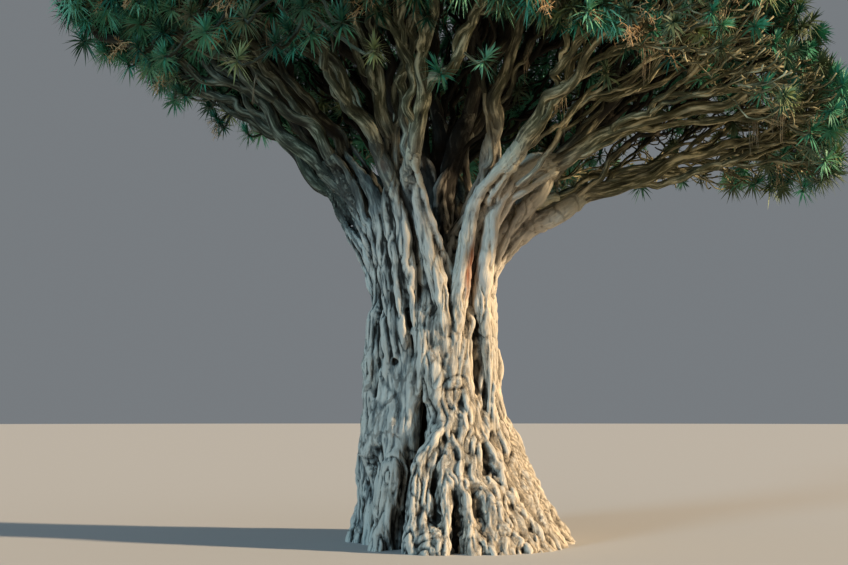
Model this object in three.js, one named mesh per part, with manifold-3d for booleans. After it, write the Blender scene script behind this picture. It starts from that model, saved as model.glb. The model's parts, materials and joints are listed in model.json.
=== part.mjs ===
// A very old dragon blood tree: a stout fluted trunk on a spreading foot, eight stems packed
// side by side on top of it, long bare boughs that fan out from the stems, and a wide domed
// crown of leaf masses, one at the end of each bough.
// Millimetres, +Z up. +X is the side where the crown hangs lowest, and -Y is the front.
// The origin is on the level cut under the trunk, at the trunk's axis at its waist.
// Azimuths are degrees round the trunk: 0 is +X, 90 is +Y and -90 is the front.

import * as THREE from "three";
import { mergeVertices } from "three/addons/utils/BufferGeometryUtils.js";
import Module from "manifold-3d";

const wasm = await Module();
wasm.setup();

// Driving dimensions of the whole tree.
const TREE_HEIGHT = 17000;
const GAP = 0.3; // clearance kept between neighbouring pieces

// The crown's outline: horizontal reach and the height of its widest level, on four sides.
const REACH = { right: 11200, back: 10200, left: 10000, front: 9600 };
const RIM = { right: 10500, back: 12100, left: 14000, front: 12300 };

// The trunk. Below the flare height its foot spreads past the waist, by this much on each side.
const TRUNK_TOP = 5900;
const WAIST_RADIUS = 1700;
const FLARE_HEIGHT = 3700;
const FLARE = { right: 1750, back: 1000, left: 430, front: 1150 };
const FLARE_CURVE = 1.35; // above 1, the flare sweeps out as it nears the ground
const BUTTRESSES = 9;
const BUTTRESS_DEPTH = 0.09; // share of the radius, at the ground
const BUTTRESS_FADE = 0.25; // share of that depth left at the waist
const TRUNK_SIDES = 27;
const TRUNK_LEVELS = 10;

// The seven outer stems, and the core stem that they ring: the reach of a stem's foot, its radii,
// and the standoff from its axis to the axis of each bough on its end.
const OUTER = { ring: 1150, foot: 480, tip: 440, standoff: 240 };
const CORE = { ring: 0, foot: 640, tip: 640, standoff: 420 };
const STEM_SIDES = 8;
const STEM_STEPS = 4;
const STEMS = [
  { name: "right", size: OUTER, azimuth: 4, topAzimuth: 5, topReach: 2300, topZ: 8250, lean: 42 },
  { name: "back_right", size: OUTER, azimuth: 55, topAzimuth: 47, topReach: 2150, topZ: 8350, lean: 34 },
  { name: "back", size: OUTER, azimuth: 106, topAzimuth: 96, topReach: 2050, topZ: 8500, lean: 32 },
  { name: "back_left", size: OUTER, azimuth: 157, topAzimuth: 146, topReach: 2100, topZ: 8450, lean: 32 },
  { name: "left", size: OUTER, azimuth: -152, topAzimuth: -169, topReach: 1800, topZ: 8300, lean: 34 },
  { name: "front_left", size: OUTER, azimuth: -101, topAzimuth: -112, topReach: 1650, topZ: 8500, lean: 18 },
  { name: "front_right", size: OUTER, azimuth: -48, topAzimuth: -42, topReach: 1950, topZ: 8800, lean: 22 },
  { name: "core", size: CORE, azimuth: 60, topAzimuth: 60, topReach: 250, topZ: 9300, lean: 3 },
];

// The rings of leaf masses, from the rim to the top. latitude goes up the dome's elliptical
// section, from 0 at its widest level to 90 at its top, and depth is from the dome's skin to a
// mass's middle. along, across and thick are a mass's half sizes uphill, round the crown and
// through its skin. entry is how far below its mass's middle a bough is aimed, as a share of along.
const RINGS = {
  rim: { latitude: 12, depth: 1200, across: 2750, thick: 1200, entry: 0.4 },
  shoulder: { latitude: 39, depth: 1150, along: 2150, across: 3100, thick: 1200, entry: 0.1 },
  upper: { latitude: 64, depth: 1150, along: 2500, across: 3300, thick: 1200, entry: 0.1 },
  top: { latitude: 90, depth: 1150, along: 2500, across: 2500, thick: 1200, entry: 0 },
};
const RIM_ALONG = { right: 2300, back: 1900, left: 1500, front: 1900 };
const BOUGH_AIM = 0.4; // how far under its mass's middle a bough is aimed, as a share of thick
const MASS_UNEVENNESS = 0.17; // share of a mass's size
const MASS_DETAIL = 2;

// The boughs. slot is the angle at which a bough stands round its stem's end.
const BOUGH_FOOT_RADIUS = 200;
const BOUGH_TIP_RADIUS = 120;
const BOUGH_SIDES = 6;
const BOUGH_STEPS = 6;
const BOUGHS = [
  { stem: "right", ring: "rim", azimuth: 0, slot: 0 },
  { stem: "right", ring: "shoulder", azimuth: -22.5, slot: -120 },
  { stem: "right", ring: "shoulder", azimuth: 22.5, slot: 120 },
  { stem: "back_right", ring: "rim", azimuth: 30, slot: -60 },
  { stem: "back_right", ring: "rim", azimuth: 60, slot: 60 },
  { stem: "back", ring: "shoulder", azimuth: 67.5, slot: -120 },
  { stem: "back", ring: "rim", azimuth: 90, slot: 0 },
  { stem: "back", ring: "shoulder", azimuth: 112.5, slot: 120 },
  { stem: "back_left", ring: "rim", azimuth: 120, slot: -60 },
  { stem: "back_left", ring: "rim", azimuth: 150, slot: 60 },
  { stem: "back_left", ring: "shoulder", azimuth: 157.5, slot: 180 },
  { stem: "left", ring: "rim", azimuth: 180, slot: -60 },
  { stem: "left", ring: "rim", azimuth: -150, slot: 60 },
  { stem: "left", ring: "shoulder", azimuth: -157.5, slot: 180 },
  { stem: "front_left", ring: "rim", azimuth: -120, slot: -60 },
  { stem: "front_left", ring: "rim", azimuth: -90, slot: 60 },
  { stem: "front_left", ring: "shoulder", azimuth: -112.5, slot: 180 },
  { stem: "front_right", ring: "rim", azimuth: -60, slot: -60 },
  { stem: "front_right", ring: "rim", azimuth: -30, slot: 60 },
  { stem: "front_right", ring: "shoulder", azimuth: -67.5, slot: 180 },
  { stem: "core", ring: "upper", azimuth: -45, slot: -105 },
  { stem: "core", ring: "upper", azimuth: 45, slot: -15 },
  { stem: "core", ring: "upper", azimuth: 135, slot: 75 },
  { stem: "core", ring: "upper", azimuth: -135, slot: 165 },
  { stem: "core", ring: "top", azimuth: 0, slot: 0 },
];

const BARK = new THREE.MeshStandardMaterial({ color: 0x8d877c, roughness: 0.95, metalness: 0 });
const LIMB_BARK = new THREE.MeshStandardMaterial({ color: 0x6f6a54, roughness: 0.95, metalness: 0 });
const FOLIAGE = new THREE.MeshStandardMaterial({ color: 0x3a5f4c, roughness: 0.7, metalness: 0 });

const rad = THREE.MathUtils.degToRad;

function polar(azimuth, reach, z) {
  return new THREE.Vector3(reach * Math.cos(rad(azimuth)), reach * Math.sin(rad(azimuth)), z);
}

// A value known on the four sides, carried smoothly round the tree.
function bySide({ right, back, left, front }, azimuth) {
  const mean = (right + back + left + front) / 4;
  const twofold = (right + left - back - front) / 4;
  const sideways = ((right - left) / 2) * Math.cos(rad(azimuth));
  const endways = ((back - front) / 2) * Math.sin(rad(azimuth));
  return mean + sideways + endways + twofold * Math.cos(2 * rad(azimuth));
}

// Where a mass is centred under the crown's domed skin, and which way it lies.
function massFrame({ ring: name, azimuth }) {
  const ring = RINGS[name];
  const reach = bySide(REACH, azimuth);
  const rim = bySide(RIM, azimuth);
  const rise = TREE_HEIGHT - rim;
  const t = rad(ring.latitude);
  const skin = polar(azimuth, reach * Math.cos(t), rim + rise * Math.sin(t));
  const normal = polar(azimuth, rise * Math.cos(t), reach * Math.sin(t)).normalize();
  const uphill = polar(azimuth, -reach * Math.sin(t), rise * Math.cos(t)).normalize();
  const across = new THREE.Vector3().crossVectors(uphill, normal).normalize();
  const along = ring.along ?? bySide(RIM_ALONG, azimuth);
  return { centre: skin.addScaledVector(normal, -ring.depth), normal, uphill, across, along, ring };
}

// three.js geometry to a closed solid, and back.
function solid(geometry) {
  const bare = geometry.clone();
  bare.deleteAttribute("normal");
  bare.deleteAttribute("uv");
  const merged = mergeVertices(bare, 1e-3);
  return new wasm.Manifold(
    new wasm.Mesh({
      numProp: 3,
      vertProperties: merged.attributes.position.array,
      triVerts: new Uint32Array(merged.index.array),
    }),
  );
}

function piece(name, made, material) {
  const { vertProperties, triVerts } = made.getMesh();
  const geometry = new THREE.BufferGeometry();
  geometry.setAttribute("position", new THREE.BufferAttribute(vertProperties, 3));
  geometry.setIndex(new THREE.BufferAttribute(triVerts, 1));
  geometry.computeVertexNormals();
  const mesh = new THREE.Mesh(geometry, material);
  mesh.name = name;
  return mesh;
}

// Only the largest body of a solid, because cutting can leave crumbs.
function largest(made) {
  return made.decompose().reduce((best, body) => (body.volume() > best.volume() ? body : best));
}

// A curve that leaves start along startWay and reaches end along endWay.
function sweep(start, startWay, end, endWay) {
  const length = start.distanceTo(end);
  const leave = start.clone().addScaledVector(startWay, length * 0.36);
  const arrive = end.clone().addScaledVector(endWay, -length * 0.34);
  return new THREE.CubicBezierCurve3(start, leave, arrive, end);
}

// A cylinder bent along a curve, its radius running from foot to tip, and widened all over by grow.
function limb(curve, foot, tip, sides, steps, grow = 0) {
  const geometry = new THREE.CylinderGeometry(1, 1, 1, sides, steps);
  const frames = curve.computeFrenetFrames(steps, false);
  const at = geometry.getAttribute("position");
  for (let i = 0; i < at.count; i++) {
    const share = THREE.MathUtils.clamp(at.getY(i) + 0.5, 0, 1);
    const step = Math.round(share * steps);
    const radius = THREE.MathUtils.lerp(foot, tip, share) + grow;
    const placed = curve.getPointAt(share);
    placed.addScaledVector(frames.tangents[step], step === steps ? grow : 0);
    placed.addScaledVector(frames.normals[step], -at.getX(i) * radius);
    placed.addScaledVector(frames.binormals[step], at.getZ(i) * radius);
    at.setXYZ(i, placed.x, placed.y, placed.z);
  }
  return solid(geometry);
}

// The trunk: a round column at its waist, with a lobed foot that reaches furthest to the right.
function makeTrunk() {
  const geometry = new THREE.CylinderGeometry(1, 1, 1, TRUNK_SIDES, TRUNK_LEVELS);
  const at = geometry.getAttribute("position");
  for (let i = 0; i < at.count; i++) {
    const z = TRUNK_TOP * (at.getY(i) + 0.5);
    const x = at.getX(i);
    const y = -at.getZ(i);
    const angle = Math.atan2(y, x);
    const lowness = Math.max(0, 1 - z / FLARE_HEIGHT);
    const flare = bySide(FLARE, THREE.MathUtils.radToDeg(angle)) * Math.pow(lowness, FLARE_CURVE);
    const depth = BUTTRESS_DEPTH * THREE.MathUtils.lerp(BUTTRESS_FADE, 1, lowness);
    const radius = (WAIST_RADIUS + flare) * (1 + depth * Math.cos(BUTTRESSES * angle));
    at.setXYZ(i, x * radius, y * radius, z);
  }
  return solid(geometry);
}

// A stem rises straight from the trunk's level top and leans out to its own end.
function stemCurve({ size, azimuth, topAzimuth, topReach, topZ, lean }) {
  const start = polar(azimuth, size.ring, TRUNK_TOP + GAP);
  const end = polar(topAzimuth, topReach, topZ);
  const endWay = polar(topAzimuth, Math.sin(rad(lean)), Math.cos(rad(lean)));
  return sweep(start, new THREE.Vector3(0, 0, 1), end, endWay);
}

function makeStem(stem) {
  return limb(stemCurve(stem), stem.size.foot, stem.size.tip, STEM_SIDES, STEM_STEPS);
}

// Where a bough stands on its stem's end. A slot of 0 is on the side that faces out.
function boughFoot(stem, bough) {
  const line = stemCurve(stem);
  const way = line.getTangentAt(1);
  const across = new THREE.Vector3().crossVectors(way, polar(stem.topAzimuth, 1, 0)).normalize();
  const outward = new THREE.Vector3().crossVectors(across, way).normalize();
  const standoff = bough.ring === "top" ? 0 : stem.size.standoff;
  const foot = line.getPointAt(1).addScaledVector(way, GAP);
  foot.addScaledVector(outward, standoff * Math.cos(rad(bough.slot)));
  foot.addScaledVector(across, standoff * Math.sin(rad(bough.slot)));
  return { foot, way };
}

// The bough's own line, from its stem to a point under its mass's middle.
function boughCurve(bough) {
  const stem = STEMS.find(({ name }) => name === bough.stem);
  const { foot, way } = boughFoot(stem, bough);
  const { centre, normal, uphill, along, ring } = massFrame(bough);
  const end = centre.clone().addScaledVector(normal, -BOUGH_AIM * ring.thick);
  end.addScaledVector(uphill, -ring.entry * along);
  const endWay = polar(bough.azimuth, bough.ring === "top" ? 0 : 1, 0);
  endWay.addScaledVector(normal, ring.latitude / 45).normalize();
  return sweep(foot, way, end, endWay);
}

function makeBough(bough, grow) {
  return limb(boughCurve(bough), BOUGH_FOOT_RADIUS, BOUGH_TIP_RADIUS, BOUGH_SIDES, BOUGH_STEPS, grow);
}

// Soft lobes and hollows over a mass, from -1 to 1. No two masses are alike.
function unevenness({ x, y, z }, seed) {
  const broad = Math.sin(3.1 * x + 1.7 * seed) * Math.cos(2.7 * y + seed);
  const narrow = Math.sin(4.3 * y + 2.9 * seed) * Math.cos(3.9 * z + 0.7 * seed);
  const fine = Math.sin(5.1 * z + 2.3 * x + 3.3 * seed);
  return (broad + narrow + 0.6 * fine) / 2.6;
}

// A leaf mass: an uneven ball, drawn out along, across and through the crown's skin.
function makeMass(bough, seed) {
  const { centre, normal, uphill, across, along, ring } = massFrame(bough);
  const geometry = new THREE.IcosahedronGeometry(1, MASS_DETAIL);
  const at = geometry.getAttribute("position");
  const v = new THREE.Vector3();
  for (let i = 0; i < at.count; i++) {
    v.fromBufferAttribute(at, i);
    const size = 1 + MASS_UNEVENNESS * unevenness(v, seed);
    const placed = centre.clone();
    placed.addScaledVector(across, v.x * ring.across * size);
    placed.addScaledVector(uphill, v.y * along * size);
    placed.addScaledVector(normal, v.z * ring.thick * size);
    at.setXYZ(i, placed.x, placed.y, placed.z);
  }
  return solid(geometry);
}

// The space beyond the plane midway between two masses' middles, as one big box.
function beyond(from, to) {
  const side = TREE_HEIGHT;
  const way = to.clone().sub(from).normalize();
  const place = from.clone().lerp(to, 0.5).addScaledVector(way, (side - GAP) / 2);
  const geometry = new THREE.BoxGeometry(side, side, side);
  const turn = new THREE.Quaternion().setFromUnitVectors(new THREE.Vector3(0, 0, 1), way);
  geometry.applyQuaternion(turn).translate(place.x, place.y, place.z);
  return solid(geometry);
}

// The masses, each cut back to the plane midway to any neighbour that it would run into, and
// pierced where another mass's bough passes.
function makeMasses() {
  const balls = BOUGHS.map((bough, i) => makeMass(bough, i + 1));
  const centres = BOUGHS.map((bough) => massFrame(bough).centre);
  const passages = BOUGHS.map((bough) => makeBough(bough, GAP));
  return balls.map((ball, i) => {
    let mass = ball;
    for (let j = 0; j < BOUGHS.length; j++) {
      if (j === i) continue;
      if (!ball.intersect(balls[j]).isEmpty()) mass = mass.subtract(beyond(centres[i], centres[j]));
      if (!ball.intersect(passages[j]).isEmpty()) mass = mass.subtract(passages[j]);
    }
    return largest(mass);
  });
}

// A bough ends where it enters its mass: what lies inside is cut away, with a little clearance.
function endAtMass(bough, mass) {
  const back = boughCurve(bough).getTangentAt(1).multiplyScalar(-2 * GAP);
  const reach = mass.add(mass.translate([back.x, back.y, back.z]));
  return largest(makeBough(bough, 0).subtract(reach));
}

function placeName({ ring, azimuth }) {
  const heading = Math.round((azimuth + 360) % 360);
  return ring === "top" ? "top" : `${ring}_${String(heading).padStart(3, "0")}`;
}

const tree = new THREE.Group();
tree.add(piece("trunk", makeTrunk(), BARK));
for (const stem of STEMS) tree.add(piece(`stem_${stem.name}`, makeStem(stem), BARK));
const masses = makeMasses();
BOUGHS.forEach((bough, i) => {
  const place = placeName(bough);
  tree.add(piece(`bough_${place}`, endAtMass(bough, masses[i]), LIMB_BARK));
  tree.add(piece(`mass_${place}`, masses[i], FOLIAGE));
});

export default tree;
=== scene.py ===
# A very old dragon blood tree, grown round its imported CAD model.
# The trunk and stems are strands fused into one skin, the boughs follow the CAD lines, and limbs,
# twigs, leaf rosettes, dry flower stalks and hanging roots grow on from them by a seeded rule.
# Metres and degrees. +Z is up, +X the low side of the crown, -Y the front. Bearing 0 is +X, 90 is +Y.
import json
import math
from functools import partial

import bpy
import numpy as np
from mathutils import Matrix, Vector, kdtree

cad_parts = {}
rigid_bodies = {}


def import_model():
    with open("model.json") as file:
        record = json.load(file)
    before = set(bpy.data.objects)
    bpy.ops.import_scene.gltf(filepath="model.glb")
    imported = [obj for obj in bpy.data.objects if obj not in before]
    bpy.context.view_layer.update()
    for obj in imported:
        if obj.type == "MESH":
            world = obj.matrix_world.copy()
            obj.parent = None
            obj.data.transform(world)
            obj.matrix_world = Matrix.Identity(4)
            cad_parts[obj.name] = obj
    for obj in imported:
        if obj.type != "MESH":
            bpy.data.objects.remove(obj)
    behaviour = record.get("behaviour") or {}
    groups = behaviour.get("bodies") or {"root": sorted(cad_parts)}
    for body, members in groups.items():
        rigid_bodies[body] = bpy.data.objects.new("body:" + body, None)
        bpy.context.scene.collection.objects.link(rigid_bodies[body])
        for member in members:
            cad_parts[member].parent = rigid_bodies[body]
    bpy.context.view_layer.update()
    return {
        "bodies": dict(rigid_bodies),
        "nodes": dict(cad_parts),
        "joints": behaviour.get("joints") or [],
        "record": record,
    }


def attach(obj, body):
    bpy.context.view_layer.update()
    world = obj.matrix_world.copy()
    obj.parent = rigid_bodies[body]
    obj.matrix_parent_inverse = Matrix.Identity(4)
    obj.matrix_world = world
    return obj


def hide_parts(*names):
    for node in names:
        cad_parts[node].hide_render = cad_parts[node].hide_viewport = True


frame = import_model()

SEED = 4
# Each noise field's own seed.
CROWN_LUMPS, CROWN_GRAIN = 5, 6
FOLDS, FINE_FOLDS, KNOBS, PITS, SCALLOPS = 11, 12, 13, 14, 15
CREASE_WARP, BROAD_MASSES, MEDIUM_MASSES, SWELLINGS = (21, 22, 23), 24, 25, 26
BARK_WARP = (31, 32, 33)
LIMB_WAVER, LINE_WAVER, LIMB_SWING, LIMB_RIPPLE, LIMB_GIRTH = 40, 41, 42, 43, 44
FLUTES, FINE_FLUTES = 50, 51
SAP_SPOTS, SAP_MOTTLE = 61, 62

# The CAD model's own sizes, which the shown pieces follow.
TREE_HEIGHT = 17.0
REACH = {"right": 11.2, "back": 10.2, "left": 10.0, "front": 9.6}
RIM = {"right": 10.5, "back": 12.1, "left": 14.0, "front": 12.3}
TRUNK_TOP = 5.9
WAIST = 1.7
FLARE_HEIGHT = 3.7
FLARE = {"right": 1.75, "back": 1.0, "left": 0.43, "front": 1.15}
OUTER = {"ring": 1.15, "foot": 0.48, "tip": 0.44, "standoff": 0.24}
CORE = {"ring": 0.0, "foot": 0.64, "tip": 0.64, "standoff": 0.42}
# Each stem: its size, its bearing at the foot and at the top, and the reach, height and lean of its top.
# The left stem stands a little closer in than the CAD model's, as the outline of the tree does.
STEMS = {
    "right": (OUTER, 4, 5, 2.3, 8.25, 42),
    "back_right": (OUTER, 55, 47, 2.15, 8.35, 34),
    "back": (OUTER, 106, 96, 2.05, 8.5, 32),
    "back_left": (OUTER, 157, 146, 2.1, 8.45, 32),
    "left": (OUTER, -152, -169, 1.66, 8.45, 26),
    "front_left": (OUTER, -101, -112, 1.65, 8.5, 18),
    "front_right": (OUTER, -48, -42, 1.95, 8.8, 22),
    "core": (CORE, 60, 60, 0.25, 9.3, 3),
}
RIM_ALONG = {"right": 2.3, "back": 1.9, "left": 1.5, "front": 1.9}
# Each ring of masses: latitude, depth, half size uphill, thickness, and how low its boughs enter.
RINGS = {
    "rim": (12, 1.2, None, 1.2, 0.4),
    "shoulder": (39, 1.15, 2.15, 1.2, 0.1),
    "upper": (64, 1.15, 2.5, 1.2, 0.1),
    "top": (90, 1.15, 2.5, 1.2, 0.0),
}
BOUGH_AIM = 0.4
# The boughs of each stem: ring of masses, bearing, and slot round the stem's end.
BOUGHS_ON = {
    "right": [("rim", 0, 0), ("shoulder", -22.5, -120), ("shoulder", 22.5, 120)],
    "back_right": [("rim", 30, -60), ("rim", 60, 60)],
    "back": [("shoulder", 67.5, -120), ("rim", 90, 0), ("shoulder", 112.5, 120)],
    "back_left": [("rim", 120, -60), ("rim", 150, 60), ("shoulder", 157.5, 180)],
    "left": [("rim", 180, -60), ("rim", -150, 60), ("shoulder", -157.5, 180)],
    "front_left": [("rim", -120, -60), ("rim", -90, 60), ("shoulder", -112.5, 180)],
    "front_right": [("rim", -60, -60), ("rim", -30, 60), ("shoulder", -67.5, 180)],
    "core": [
        ("upper", -45, -105), ("upper", 45, -15), ("upper", 135, 75), ("upper", -135, 165), ("top", 0, 0),
    ],
}
BOUGHS = [(stem, *bough) for stem, own in BOUGHS_ON.items() for bough in own]
LINE_POINTS = 100  # on each bough's line, up to where it meets its mass
UP = np.array([0.0, 0.0, 1.0])


def unit(v):
    """The same direction, one long, for one vector or a row of them."""
    return v / np.maximum(np.linalg.norm(v, axis=-1, keepdims=True), 1e-9)


def polar(bearing, reach, z):
    """Points from their bearing, reach and height."""
    turn = np.radians(bearing)
    return np.stack(np.broadcast_arrays(reach * np.cos(turn), reach * np.sin(turn), z), axis=-1)


def bearing_of(points):
    return np.degrees(np.arctan2(points[:, 1], points[:, 0]))


def bearing_gap(one, other):
    """The turn from one bearing to another, from -180 to 180."""
    return (one - other + 180) % 360 - 180


def ramp(rise, length):
    """From 0 to 1 as a rise grows to its full length."""
    return np.clip(rise / length, 0, 1)


def by_side(sides, bearing):
    """A value known on the four sides, carried smoothly round the tree."""
    right, back, left, front = (sides[side] for side in ("right", "back", "left", "front"))
    turn = np.radians(bearing)
    mean = (right + back + left + front) / 4
    twofold = (right + left - back - front) / 4
    sideways = (right - left) / 2 * np.cos(turn)
    endways = (back - front) / 2 * np.sin(turn)
    return mean + sideways + endways + twofold * np.cos(2 * turn)


def lattice(cell, seed):
    """One repeatable number from 0 to 1 for each whole-numbered cell."""
    mixed = cell[..., 0] * 374761393 + cell[..., 1] * 668265263 + cell[..., 2] * 1274126177 + seed * 97471
    mixed = mixed & 0xFFFFFFFF
    mixed = ((mixed ^ (mixed >> 13)) * 1274126177) & 0xFFFFFFFF
    return (mixed ^ (mixed >> 16)) / 0xFFFFFFFF


def soft_noise(at, size, seed):
    """Smooth noise from -1 to 1 at each point, with lumps about as large as size."""
    scaled = at / np.asarray(size, float)
    cell = np.floor(scaled).astype(np.int64)
    inside = scaled - cell
    ease = inside * inside * (3 - 2 * inside)
    total = np.zeros(at.shape[:-1])
    for corner in np.ndindex(2, 2, 2):
        step = np.array(corner)
        weight = np.prod(np.where(step, ease, 1 - ease), axis=-1)
        total += weight * lattice(cell + step, seed)
    return total * 2 - 1


def noise_ways(at, size, seeds):
    """Smooth noise in three directions, each from its own seed."""
    return np.stack([soft_noise(at, size, seed) for seed in seeds], axis=-1)


def shifted_ways(points, size, seed, shifts):
    """Smooth noise in three directions, from one field that is read at three shifts."""
    return np.stack([soft_noise(points + shift, size, seed) for shift in shifts], axis=1)


def line_shifts(number):
    """Where a numbered line reads its noise, so that no two waver alike."""
    return number * 3.7 + np.array([0.0, 11.3, 23.9])


def bezier(controls, count):
    """A cubic curve through count points, evenly spaced along it."""
    a, b, c, d = controls
    s = np.linspace(0, 1, 80)[:, None]
    curve = (1 - s) ** 3 * a + 3 * (1 - s) ** 2 * s * b + 3 * (1 - s) * s**2 * c + s**3 * d
    return even_line(curve, count)


def lengths_along(points):
    """How far along its line each point is."""
    steps = np.linalg.norm(np.diff(points, axis=0), axis=1)
    return np.concatenate([[0], np.cumsum(steps)])


def along_line(points, places, values=None):
    """The points, or the values given at the points, at these distances along a line."""
    length = lengths_along(points)
    values = points if values is None else values
    if values.ndim == 1:
        return np.interp(places, length, values)
    return np.stack([np.interp(places, length, column) for column in values.T], axis=1)


def even_line(points, count):
    """The same line through count evenly spaced points."""
    return along_line(points, np.linspace(0, lengths_along(points)[-1], count))


def smoothed(values, passes):
    """A line, or the values along it, with its corners eased and its ends kept."""
    values = values.copy()
    for _ in range(passes):
        values[1:-1] = (values[:-2] + 2 * values[1:-1] + values[2:]) / 4
    return values


def sweep(start, start_way, end, end_way):
    """The controls of a curve that leaves start along start_way and reaches end along end_way."""
    length = np.linalg.norm(end - start)
    return start, start + start_way * 0.36 * length, end - end_way * 0.34 * length, end


def stem_controls(name):
    """The controls of a stem's curve, as in the CAD model."""
    size, bearing, top_bearing, top_reach, top_z, lean = STEMS[name]
    tilt = math.radians(lean)
    end_way = polar(top_bearing, math.sin(tilt), math.cos(tilt))
    return sweep(polar(bearing, size["ring"], TRUNK_TOP), UP, polar(top_bearing, top_reach, top_z), end_way)


def dome_point(bearing, latitude, depth):
    """A point under the dome's skin, with the skin's directions there, outwards and uphill."""
    reach, rim = by_side(REACH, bearing), by_side(RIM, bearing)
    rise = TREE_HEIGHT - rim
    t = np.radians(latitude)
    skin = polar(bearing, reach * np.cos(t), rim + rise * np.sin(t))
    normal = unit(polar(bearing, rise * np.cos(t), reach * np.sin(t)))
    uphill = unit(polar(bearing, -reach * np.sin(t), rise * np.cos(t)))
    return skin - normal * np.asarray(depth)[..., None], normal, uphill


def mass_centre(bough):
    _, ring, bearing, _ = bough
    return dome_point(bearing, *RINGS[ring][:2])[0]


def bough_controls(bough):
    """The controls of a bough's curve, as in the CAD model."""
    stem, ring, bearing, slot = bough
    size, _, top_bearing, *_ = STEMS[stem]
    controls = stem_controls(stem)
    way = unit(controls[3] - controls[2])
    across = unit(np.cross(way, polar(top_bearing, 1.0, 0.0)))
    outward = unit(np.cross(across, way))
    standoff = 0.0 if ring == "top" else size["standoff"]
    turn = math.radians(slot)
    foot = controls[3] + outward * standoff * math.cos(turn) + across * standoff * math.sin(turn)
    latitude, depth, along, thick, entry = RINGS[ring]
    centre, normal, uphill = dome_point(bearing, latitude, depth)
    along = along or by_side(RIM_ALONG, bearing)
    end = centre - normal * BOUGH_AIM * thick - uphill * (along * entry)
    end_way = unit(polar(bearing, 0.0 if ring == "top" else 1.0, 0.0) + normal * latitude / 45)
    return sweep(foot, way, end, end_way)


def place_name(bough):
    _, ring, bearing, _ = bough
    return "top" if ring == "top" else f"{ring}_{int((bearing + 360) % 360 + 0.5):03d}"


def waver_line(points, size, amount, number):
    """A line that wanders a little from its course, but not at its ends."""
    share = lengths_along(points) / lengths_along(points)[-1]
    stray = shifted_ways(points, size, LINE_WAVER, line_shifts(number))
    return points + stray * (np.minimum(share, 1 - share) * 8).clip(0, 1)[:, None] * amount


def bough_line(number):
    """A bough's own line, which turns to its mass sooner than the CAD model's and wavers a little."""
    foot, lead, approach, end = bough_controls(BOUGHS[number])
    sooner = 0.35 if BOUGHS[number][0] == "left" else 1.1
    early = unit(unit(lead - foot) + unit(end - foot) * sooner)
    controls = foot, foot + early * 0.22 * np.linalg.norm(end - foot), approach, end
    return waver_line(bezier(controls, LINE_POINTS), 0.9, 0.24, number)


def bough_root(number):
    """The line that leads to a bough's foot from deep in its stem."""
    stem = bezier(stem_controls(BOUGHS[number][0]), 40)
    places = lengths_along(stem)[-1] - np.array([1.8, 1.35, 0.9, 0.45])
    apart = bough_line(number)[0] - stem[-1]
    return along_line(stem, places) + apart * np.array([[0.3], [0.5], [0.7], [0.88]])


class Pile:
    """Many small shapes gathered into one mesh, each point with its place on the straightened grain."""

    def __init__(self):
        self.count = 0
        self.points, self.grain, self.hollow = [], [], []
        self.faces, self.finish = {3: [], 4: []}, {3: [], 4: []}

    def add(self, points, faces, finish=0, grain=None, hollow=0.5):
        """Adds points, and faces as rows of 3 or 4 numbers. finish is one material, or one for each face.
        Points with grain also carry the bark's painted shade and wear.
        """
        self.points.append(points)
        if grain is not None:
            self.grain.append(grain)
            self.hollow.append(np.broadcast_to(hollow, len(points)))
        for rows in faces:
            sides = rows.shape[1]
            self.faces[sides].append(rows + self.count)
            self.finish[sides].append(np.broadcast_to(finish, len(rows)))
        self.count += len(points)

    def mesh(self, name):
        mesh = bpy.data.meshes.new(name)
        points = np.concatenate(self.points)
        mesh.vertices.add(len(points))
        mesh.vertices.foreach_set("co", points.astype(np.float32).ravel())
        kept = [sides for sides in (3, 4) if self.faces[sides]]
        rows = {sides: np.concatenate(self.faces[sides]) for sides in kept}
        sizes = np.concatenate([np.full(len(rows[sides]), sides) for sides in kept])
        mesh.loops.add(int(sizes.sum()))
        mesh.loops.foreach_set("vertex_index", np.concatenate([rows[s].ravel() for s in kept]))
        mesh.polygons.add(len(sizes))
        mesh.polygons.foreach_set("loop_start", np.concatenate([[0], np.cumsum(sizes)[:-1]]))
        finish = np.concatenate([np.concatenate(self.finish[s]) for s in kept])
        mesh.polygons.foreach_set("material_index", finish.astype(np.int32))
        mesh.update(calc_edges=True)
        if self.grain:
            write_vectors(mesh, "grain", np.concatenate(self.grain))
            # The bark's painted shade, painted light and wear at each point.
            write_numbers(mesh, "hollow", np.concatenate(self.hollow))
        return mesh


def write_vectors(mesh, name, values):
    held = mesh.attributes.get(name) or mesh.attributes.new(name, "FLOAT_VECTOR", "POINT")
    held.data.foreach_set("vector", values.astype(np.float32).ravel())


def write_numbers(mesh, name, values):
    held = mesh.attributes.get(name) or mesh.attributes.new(name, "FLOAT", "POINT")
    held.data.foreach_set("value", values.astype(np.float32))


def frames(points):
    """A line's direction at each point, and two directions across it that turn as little as they can."""
    ways = unit(np.gradient(points, axis=0))
    side = np.cross(ways[0], (0.31, 0.52, 0.79))
    sides = np.empty_like(ways)
    for i, way in enumerate(ways):
        side = side - way * side.dot(way)
        side = side / math.sqrt(side.dot(side))
        sides[i] = side
    return ways, sides, np.cross(ways, sides)


SECTOR = 30  # degrees between the lowest boughs
REACH_STEP = 0.25
REACH_STEPS = 52


def underside():
    """The lowest boughs' height, a row for each bearing and a number for each step of reach."""
    rows = []
    for bearing in range(0, 360, SECTOR):
        number = next(i for i, b in enumerate(BOUGHS) if b[1] == "rim" and b[2] % 360 == bearing)
        x, y, z = bough_line(number).T
        rows.append(np.interp(np.arange(REACH_STEPS) * REACH_STEP, np.hypot(x, y), z))
    return np.array(rows)


UNDERSIDE = underside()


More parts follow.
